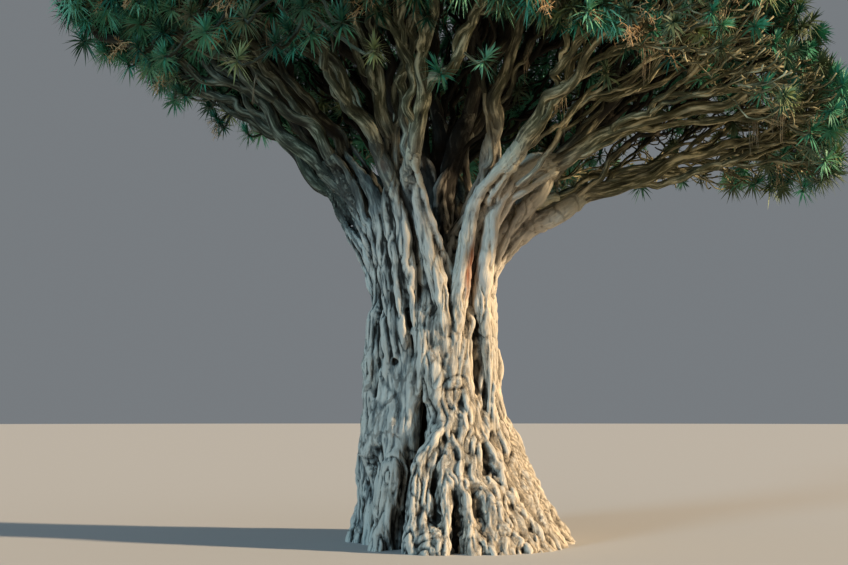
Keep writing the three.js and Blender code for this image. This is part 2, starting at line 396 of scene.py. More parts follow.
def inwardness(points):
    """How deep in the crown points lie, from 0 at its underside to 1, where no light reaches."""
    x, y, z = points.T
    sector = bearing_of(points) % 360 / SECTOR
    first = sector.astype(int) % len(UNDERSIDE)
    share = sector - sector.astype(int)
    step = np.clip((np.hypot(x, y) / REACH_STEP).astype(int), 0, REACH_STEPS - 1)
    height = UNDERSIDE[first, step] * (1 - share) + UNDERSIDE[(first + 1) % len(UNDERSIDE), step] * share
    # The low light from the front reaches further in.
    height += 0.8 * np.clip(-0.2 - y / 2, 0, 1)
    return ramp(z - height - 0.3, 0.9)


def ring_faces(count, sides):
    """The faces of a closed tube of rings: quads for its walls, and triangles for its two ends."""
    here, following = np.arange(sides), (np.arange(sides) + 1) % sides
    first = np.arange(count - 1)[:, None] * sides
    corners = [first + here, first + following, first + sides + following, first + sides + here]
    walls = np.stack(corners, axis=-1).reshape(-1, 4)
    foot, tip, last = count * sides, count * sides + 1, (count - 1) * sides
    foot_fan = np.stack([np.full(sides, foot), following, here], axis=-1)
    tip_fan = np.stack([np.full(sides, tip), last + here, last + following], axis=-1)
    return [walls, np.concatenate([foot_fan, tip_fan])]


def add_tube(pile, points, radii, sides, grain_shift=0.0, flutes=None):
    """A closed tube along a line. flutes gives a share of the radius for each ring and side."""
    ways, across, over = frames(points)
    turn = np.arange(sides) * (2 * math.pi / sides)
    spokes = across[:, None] * np.cos(turn)[None, :, None] + over[:, None] * np.sin(turn)[None, :, None]
    reach = np.broadcast_to(np.asarray(radii)[:, None], (len(points), sides))
    if flutes is not None:
        reach = reach * (1 + flutes)
    ring = points[:, None] + spokes * reach[..., None]
    ends = np.stack([points[0] - ways[0] * radii[0] * 0.5, points[-1] + ways[-1] * radii[-1] * 0.5])
    length = lengths_along(points) + grain_shift
    straight = [reach * np.cos(turn), reach * np.sin(turn), length[:, None]]
    straight = np.stack(np.broadcast_arrays(*straight), axis=-1).reshape(-1, 3)
    straight_ends = np.array([[0, 0, length[0]], [0, 0, length[-1]]])
    places = np.concatenate([ring.reshape(-1, 3), ends])
    grain = np.concatenate([straight, straight_ends])
    # Painted shade: limbs are painted darker deep in the crown, and all along on the crown's shaded left
    # side.
    painted_left_shade = ramp(-1.3 - places[:, 0], 2)
    hollow = 0.48 + 0.2 * painted_left_shade + (0.38 - 0.16 * painted_left_shade) * inwardness(places)
    # Raised flutes are painted paler and their grooves darker, as wear and painted shade.
    if flutes is not None:
        hollow[:-2] -= flutes.ravel() * 1.1
    pile.add(places, ring_faces(len(points), sides), grain=grain, hollow=hollow)


def linear(hex_colour):
    """An sRGB hex colour as linear values with alpha."""
    parts = [int(hex_colour[i : i + 2], 16) / 255 for i in (1, 3, 5)]
    return [c / 12.92 if c <= 0.04045 else ((c + 0.055) / 1.055) ** 2.4 for c in parts] + [1.0]


def add_node(tree, kind, out=0, settings=None, **inputs):
    """Adds a node with settings, and inputs named with _ for a space or by number. Returns one output."""
    node = tree.nodes.new("ShaderNode" + kind)
    for name, value in (settings or {}).items():
        setattr(node, name, value)
    for name, value in inputs.items():
        key = int(name[1:]) if name[0] == "i" and name[1:].isdigit() else name.replace("_", " ")
        if isinstance(value, bpy.types.NodeSocket):
            tree.links.new(value, node.inputs[key])
        else:
            node.inputs[key].default_value = value
    return node.outputs[out]


def new_material(name):
    """An empty material, with its tree and its main shader."""
    material = bpy.data.materials.new(name)
    material.use_nodes = True
    shader = material.node_tree.nodes["Principled BSDF"]
    return material, material.node_tree, shader


FORK_CENTRE = (0.6, -0.4, 7.6)


def bark(name, old, young, sap, roughness, relief):
    """Bark that follows the grain, as three colours on old wood near the axis and three on young wood.

    It has streaks and pits drawn out along the grain, painted shade in its hollows, pale worn edges that are
    partly painted light, a painted warm light and blue shade by side, and dried sap.
    """
    material, tree, shader = new_material(name)
    add = partial(add_node, tree)
    mix, multiply = {"data_type": "RGBA"}, {"data_type": "RGBA", "blend_type": "MULTIPLY"}
    scale_and_add = {"operation": "MULTIPLY_ADD"}
    grain = add("Attribute", "Vector", {"attribute_name": "grain"})
    hollow = add("Attribute", "Fac", {"attribute_name": "hollow"})
    stain = add("Attribute", "Fac", {"attribute_name": "stain"})
    place = add("TexCoord", "Object")
    # Wood is young by its distance from the fork, and old all the way down below it.
    above = add("VectorMath", 0, {"operation": "SUBTRACT"}, i0=place, i1=FORK_CENTRE)
    above = add("VectorMath", 0, {"operation": "MAXIMUM"}, i0=above, i1=(-99.0, -99.0, 0.0))
    reach = add("VectorMath", "Value", {"operation": "LENGTH"}, i0=above)
    most = add("MapRange", Value=add("SeparateXYZ", "Z", Vector=above), From_Min=0.0, From_Max=1.2)
    youth = add("MapRange", Value=reach, From_Min=1.9, From_Max=4.4, To_Max=most)
    # Streaks are about 90 mm across and seven times as long, fibres 25 mm: coarser than life, to show.
    long = add("Mapping", Vector=grain, Scale=(1.0, 1.0, 0.14))
    streaks = add("TexNoise", Vector=long, Scale=11.0, Detail=7.0, Roughness=0.62)
    fibres = add("TexNoise", Vector=long, Scale=40.0, Detail=4.0, Roughness=0.6)
    patches = add("TexNoise", Vector=place, Scale=0.9, Detail=5.0, Roughness=0.6)
    specks = add("TexNoise", Vector=place, Scale=7.0, Detail=5.0, Roughness=0.7)
    low = add("MapRange", Value=streaks, From_Min=0.32, From_Max=0.47)
    high = add("MapRange", Value=streaks, From_Min=0.5, From_Max=0.62)
    light, middle, dark = [
        add("Mix", 2, mix, i0=youth, i6=linear(aged), i7=linear(fresh)) for aged, fresh in zip(old, young)
    ]
    colour = add("Mix", 2, mix, i0=low, i6=dark, i7=middle)
    colour = add("Mix", 2, mix, i0=high, i6=colour, i7=light)
    # Painted light: bark is tinted warm cream towards the lit right and painted blue-grey shade towards the
    # shaded left, mixed with random patches of tone.
    painted_light_and_patches = add("Math", 0, scale_and_add, i0=add("SeparateXYZ", "X", Vector=place), i1=0.11, i2=patches)
    painted_light_and_patch_mask = add("MapRange", Value=painted_light_and_patches, From_Min=0.34, From_Max=0.66)
    painted_light_and_patch_tone = add("Mix", 2, mix, i0=painted_light_and_patch_mask, i6=linear("#97aab3"), i7=linear("#fff2e0"))
    colour = add("Mix", 2, multiply, i0=0.7, i6=colour, i7=painted_light_and_patch_tone)
    lichen = add("MapRange", Value=specks, From_Min=0.55, From_Max=0.7, To_Max=0.45)
    colour = add("Mix", 2, mix, i0=lichen, i6=colour, i7=middle)
    # Ridges, the smooth mass and the lit right stems are painted pale, partly from wear and partly as painted
    # light; hollows, the crown's depths and the shaded left are painted nearly black as shade.
    wear_and_painted_light = add("MapRange", Value=hollow, From_Min=0.42, From_Max=0.16, To_Max=0.6)
    colour = add("Mix", 2, mix, i0=wear_and_painted_light, i6=colour, i7=light)
    sunk = add("MapRange", Value=hollow, From_Min=0.5, From_Max=0.86, To_Max=0.95)
    colour = add("Mix", 2, mix, i0=sunk, i6=colour, i7=linear("#1b1813"))
    colour = add("Mix", 2, mix, i0=stain, i6=colour, i7=linear(sap))
    tree.links.new(colour, shader.inputs["Base Color"])
    height = add("Math", 0, scale_and_add, i0=fibres, i1=0.4, i2=streaks)
    bump = add("Bump", "Normal", Strength=relief, Distance=0.06, Height=height)
    tree.links.new(bump, shader.inputs["Normal"])
    shader.inputs["Roughness"].default_value = roughness
    shader.inputs["Specular IOR Level"].default_value = 0.2
    return material


def plain_leaf(name, colour, roughness=0.55):
    """One plain colour, dealt out by spray, with the soft sheen of a waxy leaf or the matt of a dry one."""
    material, _, shader = new_material(name)
    shader.inputs["Base Color"].default_value = linear(colour)
    shader.inputs["Roughness"].default_value = roughness
    shader.inputs["Specular IOR Level"].default_value = 0.3
    return material


# The light, middle and dark tones of bark: cream and grey when old, olive and nearly black when young.
OLD_WOOD = ("#ccc5b6", "#918e86", "#434543")
YOUNG_WOOD = ("#bebb9c", "#575943", "#13140c")
# Rough old bark, cracked along the grain: matt, pale on the ridges from wear and painted light, with painted
# shade in the folds and red-brown sap.
TRUNK_BARK = bark("weathered_fluted_bark", OLD_WOOD, YOUNG_WOOD, "#7e4019", 0.9, 0.9)
# Smoother bark of the boughs: the same streaks in lower relief, olive further out, with painted shade deeper
# in the crown.
LIMB_BARK = bark("smooth_olive_limb_bark", OLD_WOOD, YOUNG_WOOD, "#7a4a2c", 0.85, 0.6)
LEAVES = [
    plain_leaf("leaf_deep_blue_green", "#1d4f3c"),  # mature leaves, which give the crown its depth
    plain_leaf("leaf_blue_green", "#387c5f"),  # the common leaf, which gives the crown its colour
    plain_leaf("leaf_grey_green", "#67a17f"),  # waxy leaves, which stand out pale
    plain_leaf("leaf_olive_green", "#46553a"),  # ageing leaves, which dull the right side
    plain_leaf("leaf_young_green", "#76865a"),  # new leaves, a few yellower rosettes
    plain_leaf("leaf_dead_straw", "#857150", 0.8),  # dead leaves, matt and tan
]
# Dry woody stalks: matt and tan, so they stand out from the leaves.
DRY_STALK = plain_leaf("dry_flower_stalk", "#b4946a", 0.85)
# The dusty skin of hanging roots: matt and dull brown, paler than the shade behind it.
ROOT_SKIN = plain_leaf("hanging_root_skin", "#7d715a", 0.9)


def show(name, mesh, materials, nodes):
    """Makes a mesh a piece of the tree that stands in for CAD nodes."""
    for material in materials:
        mesh.materials.append(material)
    piece = bpy.data.objects.new(name, mesh)
    bpy.context.scene.collection.objects.link(piece)
    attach(piece, "root")
    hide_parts(*nodes)
    return piece


def smooth_faces(mesh):
    mesh.polygons.foreach_set("use_smooth", np.ones(len(mesh.polygons), bool))


# The trunk and stems: a creased core with strands fused to it, which run up into the boughs.
STRAND_STEP = 0.08
CORE_SIDES = 340
SKIRT_STRANDS = 64
THIN_STRANDS = 60
VOXEL = 0.034
GROUND_DEPTH = 0.4  # how far the strands run on below the level cut
FUSED_TRIANGLES = 600000
# Where the fused mesh is cut into pieces, besides the trunk's top.
FOOT_TOP = 2.9
STEMS_TOP = 8.5
# Deep recesses in the trunk's skin: bearing and half width in degrees at the lowest level, that level
# and the highest, depth, and lean in degrees for each metre up. Each is shaped like an eye.
RECESSES = [
    (-112, 7.0, -4.4, 4.5, 0.95, 3.5),
    (-98, 11, 1.6, 3.9, 0.16, 2),
    (-158, 20, -2.2, 2.2, 0.34, 0),
    (-89, 3.0, 0.6, 1.9, 0.5, 2),
    (-78.5, 4.2, -1.6, 1.6, 0.7, 2),
    (-56, 3.6, 1.7, 2.5, 0.34, 3),
    (-62, 3.0, 2.2, 3.0, 0.26, 2),
    (-67, 3.0, 0.3, 1.6, 0.32, 0),
    (-51, 4.8, 3.7, 5.7, 0.7, 0),
    (-77, 4.5, 5.0, 7.6, 0.5, 0),
    (-125, 3.2, 4.4, 7.2, 0.3, 3),
    (-143, 3.2, 3.6, 6.4, 0.3, -3),
    (-136, 5, -2.3, 2.3, 0.5, 2),
    (-36, 4, 2.0, 3.9, 0.36, 2),
    (-15, 5, -1.9, 1.9, 0.55, 3),
    (22, 6, 0.8, 3.6, 0.45, -3),
    (71, 6, -2.2, 2.2, 0.6, 2),
    (88, 5, 3.2, 6.2, 0.5, -2),
    (131, 6, 0.3, 3.4, 0.5, 2),
    (168, 5, 2.6, 6.2, 0.45, 2),
]
# Set strands on the trunk: radius at the top and foot, then bearing, height and standing out.
TRUNK_STRANDS = [
    # The spreading skirt of roots on the right, from its left edge round to the right.
    (0.10, 0.27, [(-66, 4.1, -0.1), (-71, 3.5, -0.02), (-79, 2.95, 0.1), (-89, 2.6, 0.18), (-97, 2.25, 0.2),
                  (-101, 1.6, 0.12), (-101, 0.7, 0.04), (-100, -0.4, 0.04)]),
    (0.10, 0.26, [(-70, 3.3, -0.08), (-80, 2.7, 0.02), (-90, 2.2, 0.08), (-95, 1.5, 0.02), (-95, 0.6, -0.02),
                  (-94, -0.4, -0.02)]),
    (0.10, 0.15, [(-70, 3.3, -0.02), (-79, 2.5, 0.1), (-84, 1.7, 0.12), (-83, 0.7, 0.08), (-86, -0.4, 0.07)]),
    (0.09, 0.17, [(-64, 3.6, 0.0), (-68, 2.7, 0.07), (-73, 1.7, 0.08), (-71, 0.7, 0.06), (-73, -0.4, 0.07)]),
    (0.11, 0.19, [(-62, 4.4, -0.05), (-61, 3.4, 0.0), (-63, 2.3, 0.04), (-60, 1.0, 0.06), (-58, -0.4, 0.08)]),
    (0.10, 0.17, [(-53, 3.6, 0.0), (-50, 2.7, 0.04), (-47, 1.4, 0.06), (-44, -0.4, 0.1)]),
    (0.12, 0.2, [(-41, 5.2, 0.0), (-40, 3.9, 0.02), (-37, 2.6, 0.07), (-33, 1.3, 0.08), (-30, -0.4, 0.12)]),
    # The eye-shaped rim of the hollow over the skirt.
    (0.1, 0.13, [(-51, 5.8, 0.0), (-44, 5.3, 0.1), (-42, 4.7, 0.12), (-44, 4.1, 0.08), (-49, 3.6, 0.0)]),
    (0.1, 0.12, [(-49, 6.4, -0.1), (-55, 5.7, 0.02), (-60, 4.7, 0.1), (-58, 4.1, 0.08), (-53, 3.6, 0.0)]),
    # The smooth mass on the left, which ends in a ledge, and the leg under it.
    (0.20, 0.50, [(-117, 5.3, -0.3), (-119, 4.4, -0.26), (-123, 3.5, -0.22), (-126, 2.8, -0.18),
                  (-128, 2.4, -0.32), (-129, 2.0, -0.6)]),
    (0.18, 0.46, [(-140, 5.2, -0.3), (-143, 4.2, -0.24), (-146, 3.2, -0.16), (-149, 2.6, -0.14),
                  (-150, 2.2, -0.32), (-150, 1.8, -0.6)]),
    (0.14, 0.34, [(-103, 5.0, -0.26), (-106, 4.2, -0.2), (-111, 3.4, -0.14), (-115, 2.8, -0.16),
                  (-117, 2.2, -0.4)]),
    (0.15, 0.18, [(-124, 2.7, -0.2), (-122, 2.0, -0.02), (-120, 1.2, 0.0), (-122, 0.4, 0.02),
                  (-125, -0.4, 0.06)]),
    # Strands that hang over the smooth mass and end above it in thin tips.
    (0.18, 0.07, [(-98, 6.6, 0.0), (-101, 5.6, 0.04), (-98, 4.9, 0.04), (-100, 4.3, 0.0),
                  (-103, 3.7, -0.08)]),
    (0.16, 0.05, [(-92, 6.4, 0.0), (-93, 5.4, 0.06), (-96, 4.7, 0.06), (-93, 4.1, 0.02), (-96, 3.5, -0.06)]),
    (0.26, 0.14, [(-116, 6.6, -0.04), (-119, 5.7, 0.0), (-115, 5.0, -0.02), (-118, 4.2, -0.14)]),
    (0.2, 0.1, [(-133, 6.4, 0.0), (-136, 5.4, 0.02), (-131, 4.6, 0.0), (-135, 3.6, -0.1)]),
    (0.24, 0.16, [(-152, 6.4, 0.0), (-156, 5.2, 0.02), (-153, 4.2, 0.02), (-158, 3.0, -0.04),
                  (-161, 2.2, -0.1)]),
    # Knobs of wood where the strands come together at the waist.
    (0.15, 0.1, [(-85, 5.6, 0.0), (-87, 5.0, 0.08), (-84, 4.5, 0.1), (-87, 4.0, 0.04)]),
    (0.12, 0.1, [(-78, 5.5, 0.02), (-76, 4.9, 0.08), (-79, 4.4, 0.06), (-77, 4.1, 0.0)]),
]
# Set strands on the front stems, each with the bough that it runs on along: x, y, z and radius, downwards.
STEM_STRANDS = [
    (("rim", -90), [(-0.36, -1.9, 8.4, 0.17), (-0.18, -1.86, 7.6, 0.21), (0.1, -1.74, 6.6, 0.24),
                    (0.28, -1.68, 5.8, 0.22), (0.32, -1.68, 5.0, 0.18), (0.24, -1.62, 4.1, 0.06)]),
    (("rim", -120), [(-0.82, -1.8, 8.4, 0.16), (-0.72, -1.8, 7.6, 0.19), (-0.55, -1.72, 6.6, 0.17),
                     (-0.42, -1.64, 5.6, 0.13), (-0.4, -1.6, 4.7, 0.05)]),
    (("shoulder", -157.5), [(-1.42, -1.3, 8.7, 0.2), (-1.25, -1.36, 7.6, 0.21), (-1.08, -1.34, 6.6, 0.2),
                            (-0.98, -1.4, 5.6, 0.16), (-0.9, -1.36, 4.6, 0.07)]),
    (("upper", -135), [(-1.05, -0.9, 8.9, 0.2), (-1.0, -1.0, 7.6, 0.2), (-0.8, -1.1, 6.4, 0.2),
                       (-0.75, -1.2, 5.4, 0.12)]),
    (("shoulder", -112.5), [(-1.2, -1.7, 8.4, 0.13), (-1.0, -1.68, 7.6, 0.15), (-0.82, -1.6, 6.6, 0.15),
                            (-0.74, -1.6, 5.4, 0.12), (-0.7, -1.5, 4.7, 0.05)]),
    (("rim", -60), [(0.98, -1.7, 8.5, 0.17), (0.88, -1.68, 7.6, 0.21), (0.74, -1.64, 6.6, 0.23),
                    (0.62, -1.66, 5.8, 0.2), (0.56, -1.68, 5.0, 0.16), (0.5, -1.64, 4.2, 0.06)]),
    (("rim", -30), [(1.56, -1.45, 8.5, 0.17), (1.42, -1.44, 7.6, 0.21), (1.27, -1.38, 6.6, 0.24),
                    (1.2, -1.36, 5.9, 0.2), (1.36, -1.24, 5.1, 0.17), (1.42, -1.22, 4.3, 0.15),
                    (1.47, -1.24, 3.4, 0.12), (1.55, -1.2, 2.5, 0.12), (1.7, -1.3, 1.5, 0.1)]),
]
SMOOTH_MASS = (-121, 27)  # the smooth mass on the left: its middle's bearing and its half width in degrees
SCAR = (-72, 3.9, 0.3, 0.17)  # a healed lens-shaped scar: bearing, height, half width and half height
SAP = (0.94, 6.75, 0.12, 0.8)  # a sap streak between the front right stems: x, height, half width and height
# How thick a bough is in the fused wood, and where it is hidden in it: distances from its foot, then shares.
FUSED_SHARE = ((0.0, 1.6, 2.25), (1.1, 1.05, 0.6))
HIDDEN_SHARE = ((0.0, 1.4, 2.0), (0.7, 0.78, 1.0))
FUSED_LENGTH = 2.3


def trunk_reach(bearing, z):
    """How far the trunk's skin reaches from its axis."""
    lowness = np.clip(1 - z / FLARE_HEIGHT, 0, None)
    return WAIST + by_side(FLARE, bearing) * lowness**1.35


def recess(bearing, z):
    """How deep the trunk's skin is let in at a bearing and height."""
    depth = np.zeros(np.broadcast(bearing, z).shape)
    for middle, half, low, high, most, lean in RECESSES:
        along = ramp(z - low, high - low)
        swell = np.sqrt(4 * along * (1 - along))
        away = bearing_gap(bearing, middle + lean * (z - max(low, 0))) / (half * (0.25 + 0.75 * swell))
        depth += most * np.exp(-(away**2)) * np.clip(swell * 1.6, 0, 1)
    return depth


def smoothness(bearing, z):
    """How smooth the trunk is, from 0 to 1: most of all in the broad mass on its left."""
    middle, half = SMOOTH_MASS
    window = ramp(z - 2.0, 0.5) * ramp(5.2 - z, 1.2)
    return 0.85 * np.exp(-((bearing_gap(bearing, middle) / half) ** 4)) * window


def creases(bearing, z):
    """The trunk's relief: rounded masses with sharp creases between, which spread with the foot."""
    at = polar(bearing + 5 * np.sin(z * 1.1 + np.radians(bearing) * 2), WAIST, z)
    warp = noise_ways(at, 1.1, CREASE_WARP) * 0.4
    broad = np.abs(soft_noise(at + warp, (0.8, 0.8, 4.6), BROAD_MASSES))
    medium = np.abs(soft_noise(at + warp * 0.6, (0.34, 0.34, 2.2), MEDIUM_MASSES))
    swell = soft_noise(at, (0.8, 0.8, 1.6), SWELLINGS)
    rough = 1 - smoothness(bearing, z)
    deep = 0.34 * np.clip(1 - broad * 5, 0, 1) ** 1.5 + 0.12 * np.clip(1 - medium * 4, 0, 1) ** 1.5
    return 0.14 * swell + rough * (0.14 * np.sqrt(broad) + 0.05 * np.sqrt(medium) - deep)


def wander(z, rng, broad, narrow):
    """A slow sideways wander along a height, of one long wave and one short wave."""
    first = np.sin(z * 2 * math.pi / rng.uniform(2.2, 3.6) + rng.uniform(0, 6.3))
    second = np.sin(z * 2 * math.pi / rng.uniform(0.9, 1.5) + rng.uniform(0, 6.3))
    return broad * first + narrow * second


def trunk_strand(bearing, bottom, top, radius, proud, rng, drift=0.0, rise=0.0):
    """A strand on the trunk's skin between two heights. Over its first rise it comes up out of the core."""
    z = np.arange(bottom, top, STRAND_STEP)
    share = (z - z[0]) / (z[-1] - z[0])
    bearings = bearing + drift * (share - 1) + wander(z, rng, 3.4, 1.2)
    lowness = np.clip(1 - z / FLARE_HEIGHT, 0, 1)
    radii = radius * (1 + 0.4 * lowness**1.5) * (1 + wander(z, rng, 0.16, 0.05))
    reach = trunk_reach(bearings, z) - radii * (1 - proud) + wander(z, rng, 0.05, 0.02)
    if rise:
        sunk = np.clip(1 - (z - bottom) / rise, 0, 1)
        reach, radii = reach - 0.5 * sunk, radii * (1 - 0.5 * sunk)
    return polar(bearings, reach - recess(bearings, z), z), radii


def stepped(points, radii):
    """A line and its radii at the steps of a strand."""
    places = np.arange(0, lengths_along(points)[-1], STRAND_STEP)
    return along_line(points, places), along_line(points, places, radii)


def set_strand(top_radius, foot_radius, course):
    """A strand on the trunk's skin through set places, listed from the top down."""
    bearings, heights, out = (column[::-1] for column in np.array(course, float).T)
    z = np.arange(heights[0], heights[-1], 0.03)
    bearing, out = (smoothed(np.interp(z, heights, v), 60) for v in (bearings, out))
    share = (z - z[0]) / (z[-1] - z[0])
    radii = foot_radius + (top_radius - foot_radius) * share
    if heights[-1] > 5.7:
        sink = np.clip((z - heights[-1]) / 0.9 + 1, 0, 1)
        out, radii = out - sink * 0.25, radii * (1 - 0.7 * sink)
    return stepped(polar(bearing, trunk_reach(bearing, z) - radii * 0.55 + out, z), radii)


def stem_front_strand(place, course):
    """A strand through set points on a front stem, which runs on along its bough and tapers into it."""
    number = next(i for i, bough in enumerate(BOUGHS) if bough[1:3] == place)
    line = bough_line(number)
    ahead = along_line(line, np.arange(0.6, 2.2, 0.2))
    apart = (np.array(course[0][:3]) - line[0]) * 0.6
    fade = np.linspace(1, 0.1, len(ahead))[:, None]
    points = np.concatenate([np.array(course)[::-1, :3], ahead + apart * fade])
    radii = np.concatenate([np.array(course)[::-1, 3], np.linspace(course[0][3] * 0.7, 0.04, len(ahead))])
    points, radii = stepped(points, radii)
    return smoothed(points, 50), radii


def stem_strand(name, turn, slim, rng):
    """The part of a strand that lies on a stem, with its radius along it."""
    size, _, top_bearing, *_ = STEMS[name]
    line = bezier(stem_controls(name), 40)
    ways = unit(np.gradient(line, axis=0))
    across = unit(np.cross(ways, polar(top_bearing, 1.0, 0.0)))
    facing = unit(np.cross(across, ways))
    share = np.linspace(0, 1, len(line))
    turns = np.radians(turn + wander(share * 3, rng, 14, 6))
    thick = size["foot"] + (size["tip"] * 0.74 - size["foot"]) * share
    radii = thick * slim * (1 + wander(share * 3, rng, 0.16, 0.08))
    standoff = (thick - radii * 0.85)[:, None]
    offset = facing * np.cos(turns)[:, None] + across * np.sin(turns)[:, None]
    return line + offset * standoff, radii


def bough_strand(stem, turn, last, radius, rng):
    """A strand's last stretch: it follows the nearest bough on its stem and sinks into it."""
    own = [i for i, bough in enumerate(BOUGHS) if bough[0] == stem]
    number = min(own, key=lambda i: abs(bearing_gap(turn, BOUGHS[i][3])))
    line = along_line(bough_line(number), np.arange(0, rng.uniform(0.6, 1.4), STRAND_STEP))
    ways, across, over = frames(line)
    apart = last - line[0]
    apart = apart - ways[0] * apart.dot(ways[0])
    distance = min(np.linalg.norm(apart), 0.15)
    start = math.atan2(apart.dot(over[0]), apart.dot(across[0]))
    share = np.linspace(0, 1, len(line))
    turns = start + share * rng.uniform(-0.9, 0.9)
    reach = (distance + (0.06 - distance) * np.minimum(share * 2.2, 1)) * (1 - 0.4 * share)
    offset = across * np.cos(turns)[:, None] + over * np.sin(turns)[:, None]
    radius = min(radius, 0.08)
    return line + offset * reach[:, None], radius + (0.04 - radius) * share


def joined(parts):
    """Lines with their radii, end to end, resampled and eased at the joints."""
    points, radii = (np.concatenate([part[i] for part in parts]) for i in range(2))
    points, radii = stepped(points, radii)
    return smoothed(points, 16), smoothed(radii, 16)


def main_strands(rng):
    """Strands up the trunk's skin, on up their stem, and along one of its boughs."""
    made = []
    for name, (size, bearing, *_) in STEMS.items():
        core = name == "core"
        turns = np.arange(-150, 180, 60 if core else 48) + rng.uniform(-10, 10)
        for turn in turns:
            turn = turn + rng.uniform(-9, 9)
            skin = abs(turn) < 116 and not core
            line, radii = stem_strand(name, turn, rng.choice([0.24, 0.34, 0.46]) * rng.uniform(0.9, 1.1), rng)
            parts = [(line, radii)]
            if skin:
                foot = bearing + turn * 0.24
                bottom = rng.choice([-GROUND_DEPTH, rng.uniform(0.6, 3.4)])
                rise = 0.0 if bottom < 0 else 1.8
                radius, proud = rng.choice([0.13, 0.2, 0.32]) * rng.uniform(0.9, 1.15), rng.uniform(-0.6, 0.3)
                drift = rng.uniform(-9, 9)
                if smoothness(foot, 3.5) > 0.3:
                    bottom, rise = rng.uniform(4.0, 4.7), 1.0
                lowest = trunk_strand(foot, bottom, TRUNK_TOP - 0.5, radius, proud, rng, drift, rise)
                parts = [lowest, (line[6:], radii[6:])]
            last, radius = parts[-1][0][-1], parts[-1][1][-1]
            parts.append(bough_strand(name, turn, last, radius, rng))
            made.append(joined(parts))
    return made


def skirt_strands(rng):
    """A web of thin roots over the spreading skirt, which fan out from its neck and cross each other."""
    made = []
    for _ in range(SKIRT_STRANDS):
        low, top = rng.uniform(-103, 12), rng.uniform(1.4, 4.2)
        z = np.arange(-GROUND_DEPTH, top, STRAND_STEP)
        share = ((z + GROUND_DEPTH) / 4.8) ** 0.9
        bearings = low + (0.3 * (low + 48) - 62 - low) * share + wander(z, rng, 2.6, 1.8)
        ending = ramp(top - z, 0.7)
        radii = rng.uniform(0.045, 0.115) * (1 + wander(z, rng, 0.2, 0.12)) * (0.4 + 0.6 * ending)
        reach = trunk_reach(bearings, z) + rng.uniform(-0.03, 0.08) - 0.2 * (1 - ending)
        made.append((polar(bearings, reach - recess(bearings, z) * 0.8, z), radii))
    return made


def thin_strands(rng):
    """Thin strands that cross the main ones at a slant and melt into them."""
    made = []
    for _ in range(THIN_STRANDS):
        bottom = rng.uniform(-0.3, 4.2)
        top = min(bottom + rng.uniform(1.2, 3.0), 6.1)
        radius = rng.uniform(0.03, 0.08)
        proud, drift = rng.uniform(0.4, 1.1), rng.uniform(-13, 13)
        bearing = rng.uniform(-180, 180)
        if smoothness(bearing, (bottom + top) / 2) < 0.3:
            made.append(trunk_strand(bearing, bottom, top, radius, proud, rng, drift))
    return made


def inner_strands(rng, behind, before):
    """Thin strands that rise between the stems and come up under each bough, more of them at the back."""
    made = []
    for number, (stem, *_) in enumerate(BOUGHS):
        line = bough_line(number)
        for _ in range(behind if stem in ("back_right", "back", "back_left", "core") else before):
            end_place = rng.uniform(0.7, 2.3)
            end, beyond = along_line(line, np.array([end_place, end_place + 0.3]))
            start = polar(STEMS[stem][1] + rng.uniform(-40, 40), rng.uniform(0.35, 1.5), 5.3)
            start_way = unit(UP + rng.normal(0, 0.06, 3))
            points = bezier(sweep(start, start_way, end, unit(beyond - end)), 60)
            radii = rng.uniform(0.1, 0.2) * (1 - 0.7 * np.linspace(0, 1, len(points)))
            made.append((waver_line(points, 0.9, 0.22, number + 60), radii))
    return made


def crossing_strands():
    """Strands low in the back of the fork, which leave one bough's root and join the next bough."""
    places = np.arange(0, 2.6, 0.1)
    from_right_to_left = range(2, 12)
    lines = [np.concatenate([bough_root(i), along_line(bough_line(i), places)]) for i in from_right_to_left]
    made = []
    for ours, other in zip(lines, lines[1:]):
        turned = np.linspace(0.25, 1, len(ours))[:, None]
        points = smoothed(ours * (1 - turned) + other * turned, 2)
        made.append((points, np.linspace(0.3, 0.15, len(points))))
    # One more rises at the back left, from between the stems to a bough.
    end = along_line(bough_line(9), np.array([2.6]))
    upright = np.concatenate([polar(135, 0.9, 6.0)[None], [(-1.2, 1.2, 8.3), (-1.52, 1.5, 9.7)], end])
    made.append((smoothed(even_line(upright, 40), 8), np.linspace(0.28, 0.16, 40)))
    return made


def add_core(pile):
    """The solid under the strands, with the trunk's own creased skin."""
    z = np.arange(-GROUND_DEPTH, 6.0, 0.05)[:, None]
    bearings = np.arange(CORE_SIDES)[None] * 360 / CORE_SIDES
    dome = 1 - 0.5 * np.clip((z - 4.9) / 1.0, 0, 1) ** 2
    reach = trunk_reach(bearings, z) * (0.99 - 0.08 * np.clip(z - 4.2, 0, 1))
    reach = (reach + creases(bearings, z)) * dome - recess(bearings, z)
    ring = polar(bearings, reach, z)
    points = np.concatenate([ring.reshape(-1, 3), ring[:1].mean(1), ring[-1:].mean(1)])
    pile.add(points, ring_faces(len(z), CORE_SIDES), grain=points * 0)


def select_only(obj):
    bpy.ops.object.select_all(action="DESELECT")
    obj.select_set(True)
    bpy.context.view_layer.objects.active = obj


def apply_modifier(obj, kind, **settings):
    modifier = obj.modifiers.new(kind.lower(), kind)
    for name, value in settings.items():
        setattr(modifier, name, value)
    select_only(obj)
    bpy.ops.object.modifier_apply(modifier=modifier.name)


def read_vectors(source, name):
    """One vector for each of a mesh's vertices."""
    values = np.empty(len(source) * 3, np.float32)
    source.foreach_get(name, values)
    return values.reshape(-1, 3).astype(float)


def points_of(mesh):
    return read_vectors(mesh.vertices, "co")


def normals_of(mesh):
    return read_vectors(mesh.vertex_normals, "vector")


def search_tree(points):
    """A tree that finds the nearest of these points."""
    tree = kdtree.KDTree(len(points))
    for i, point in enumerate(points):
        tree.insert(point, i)
    tree.balance()
    return tree


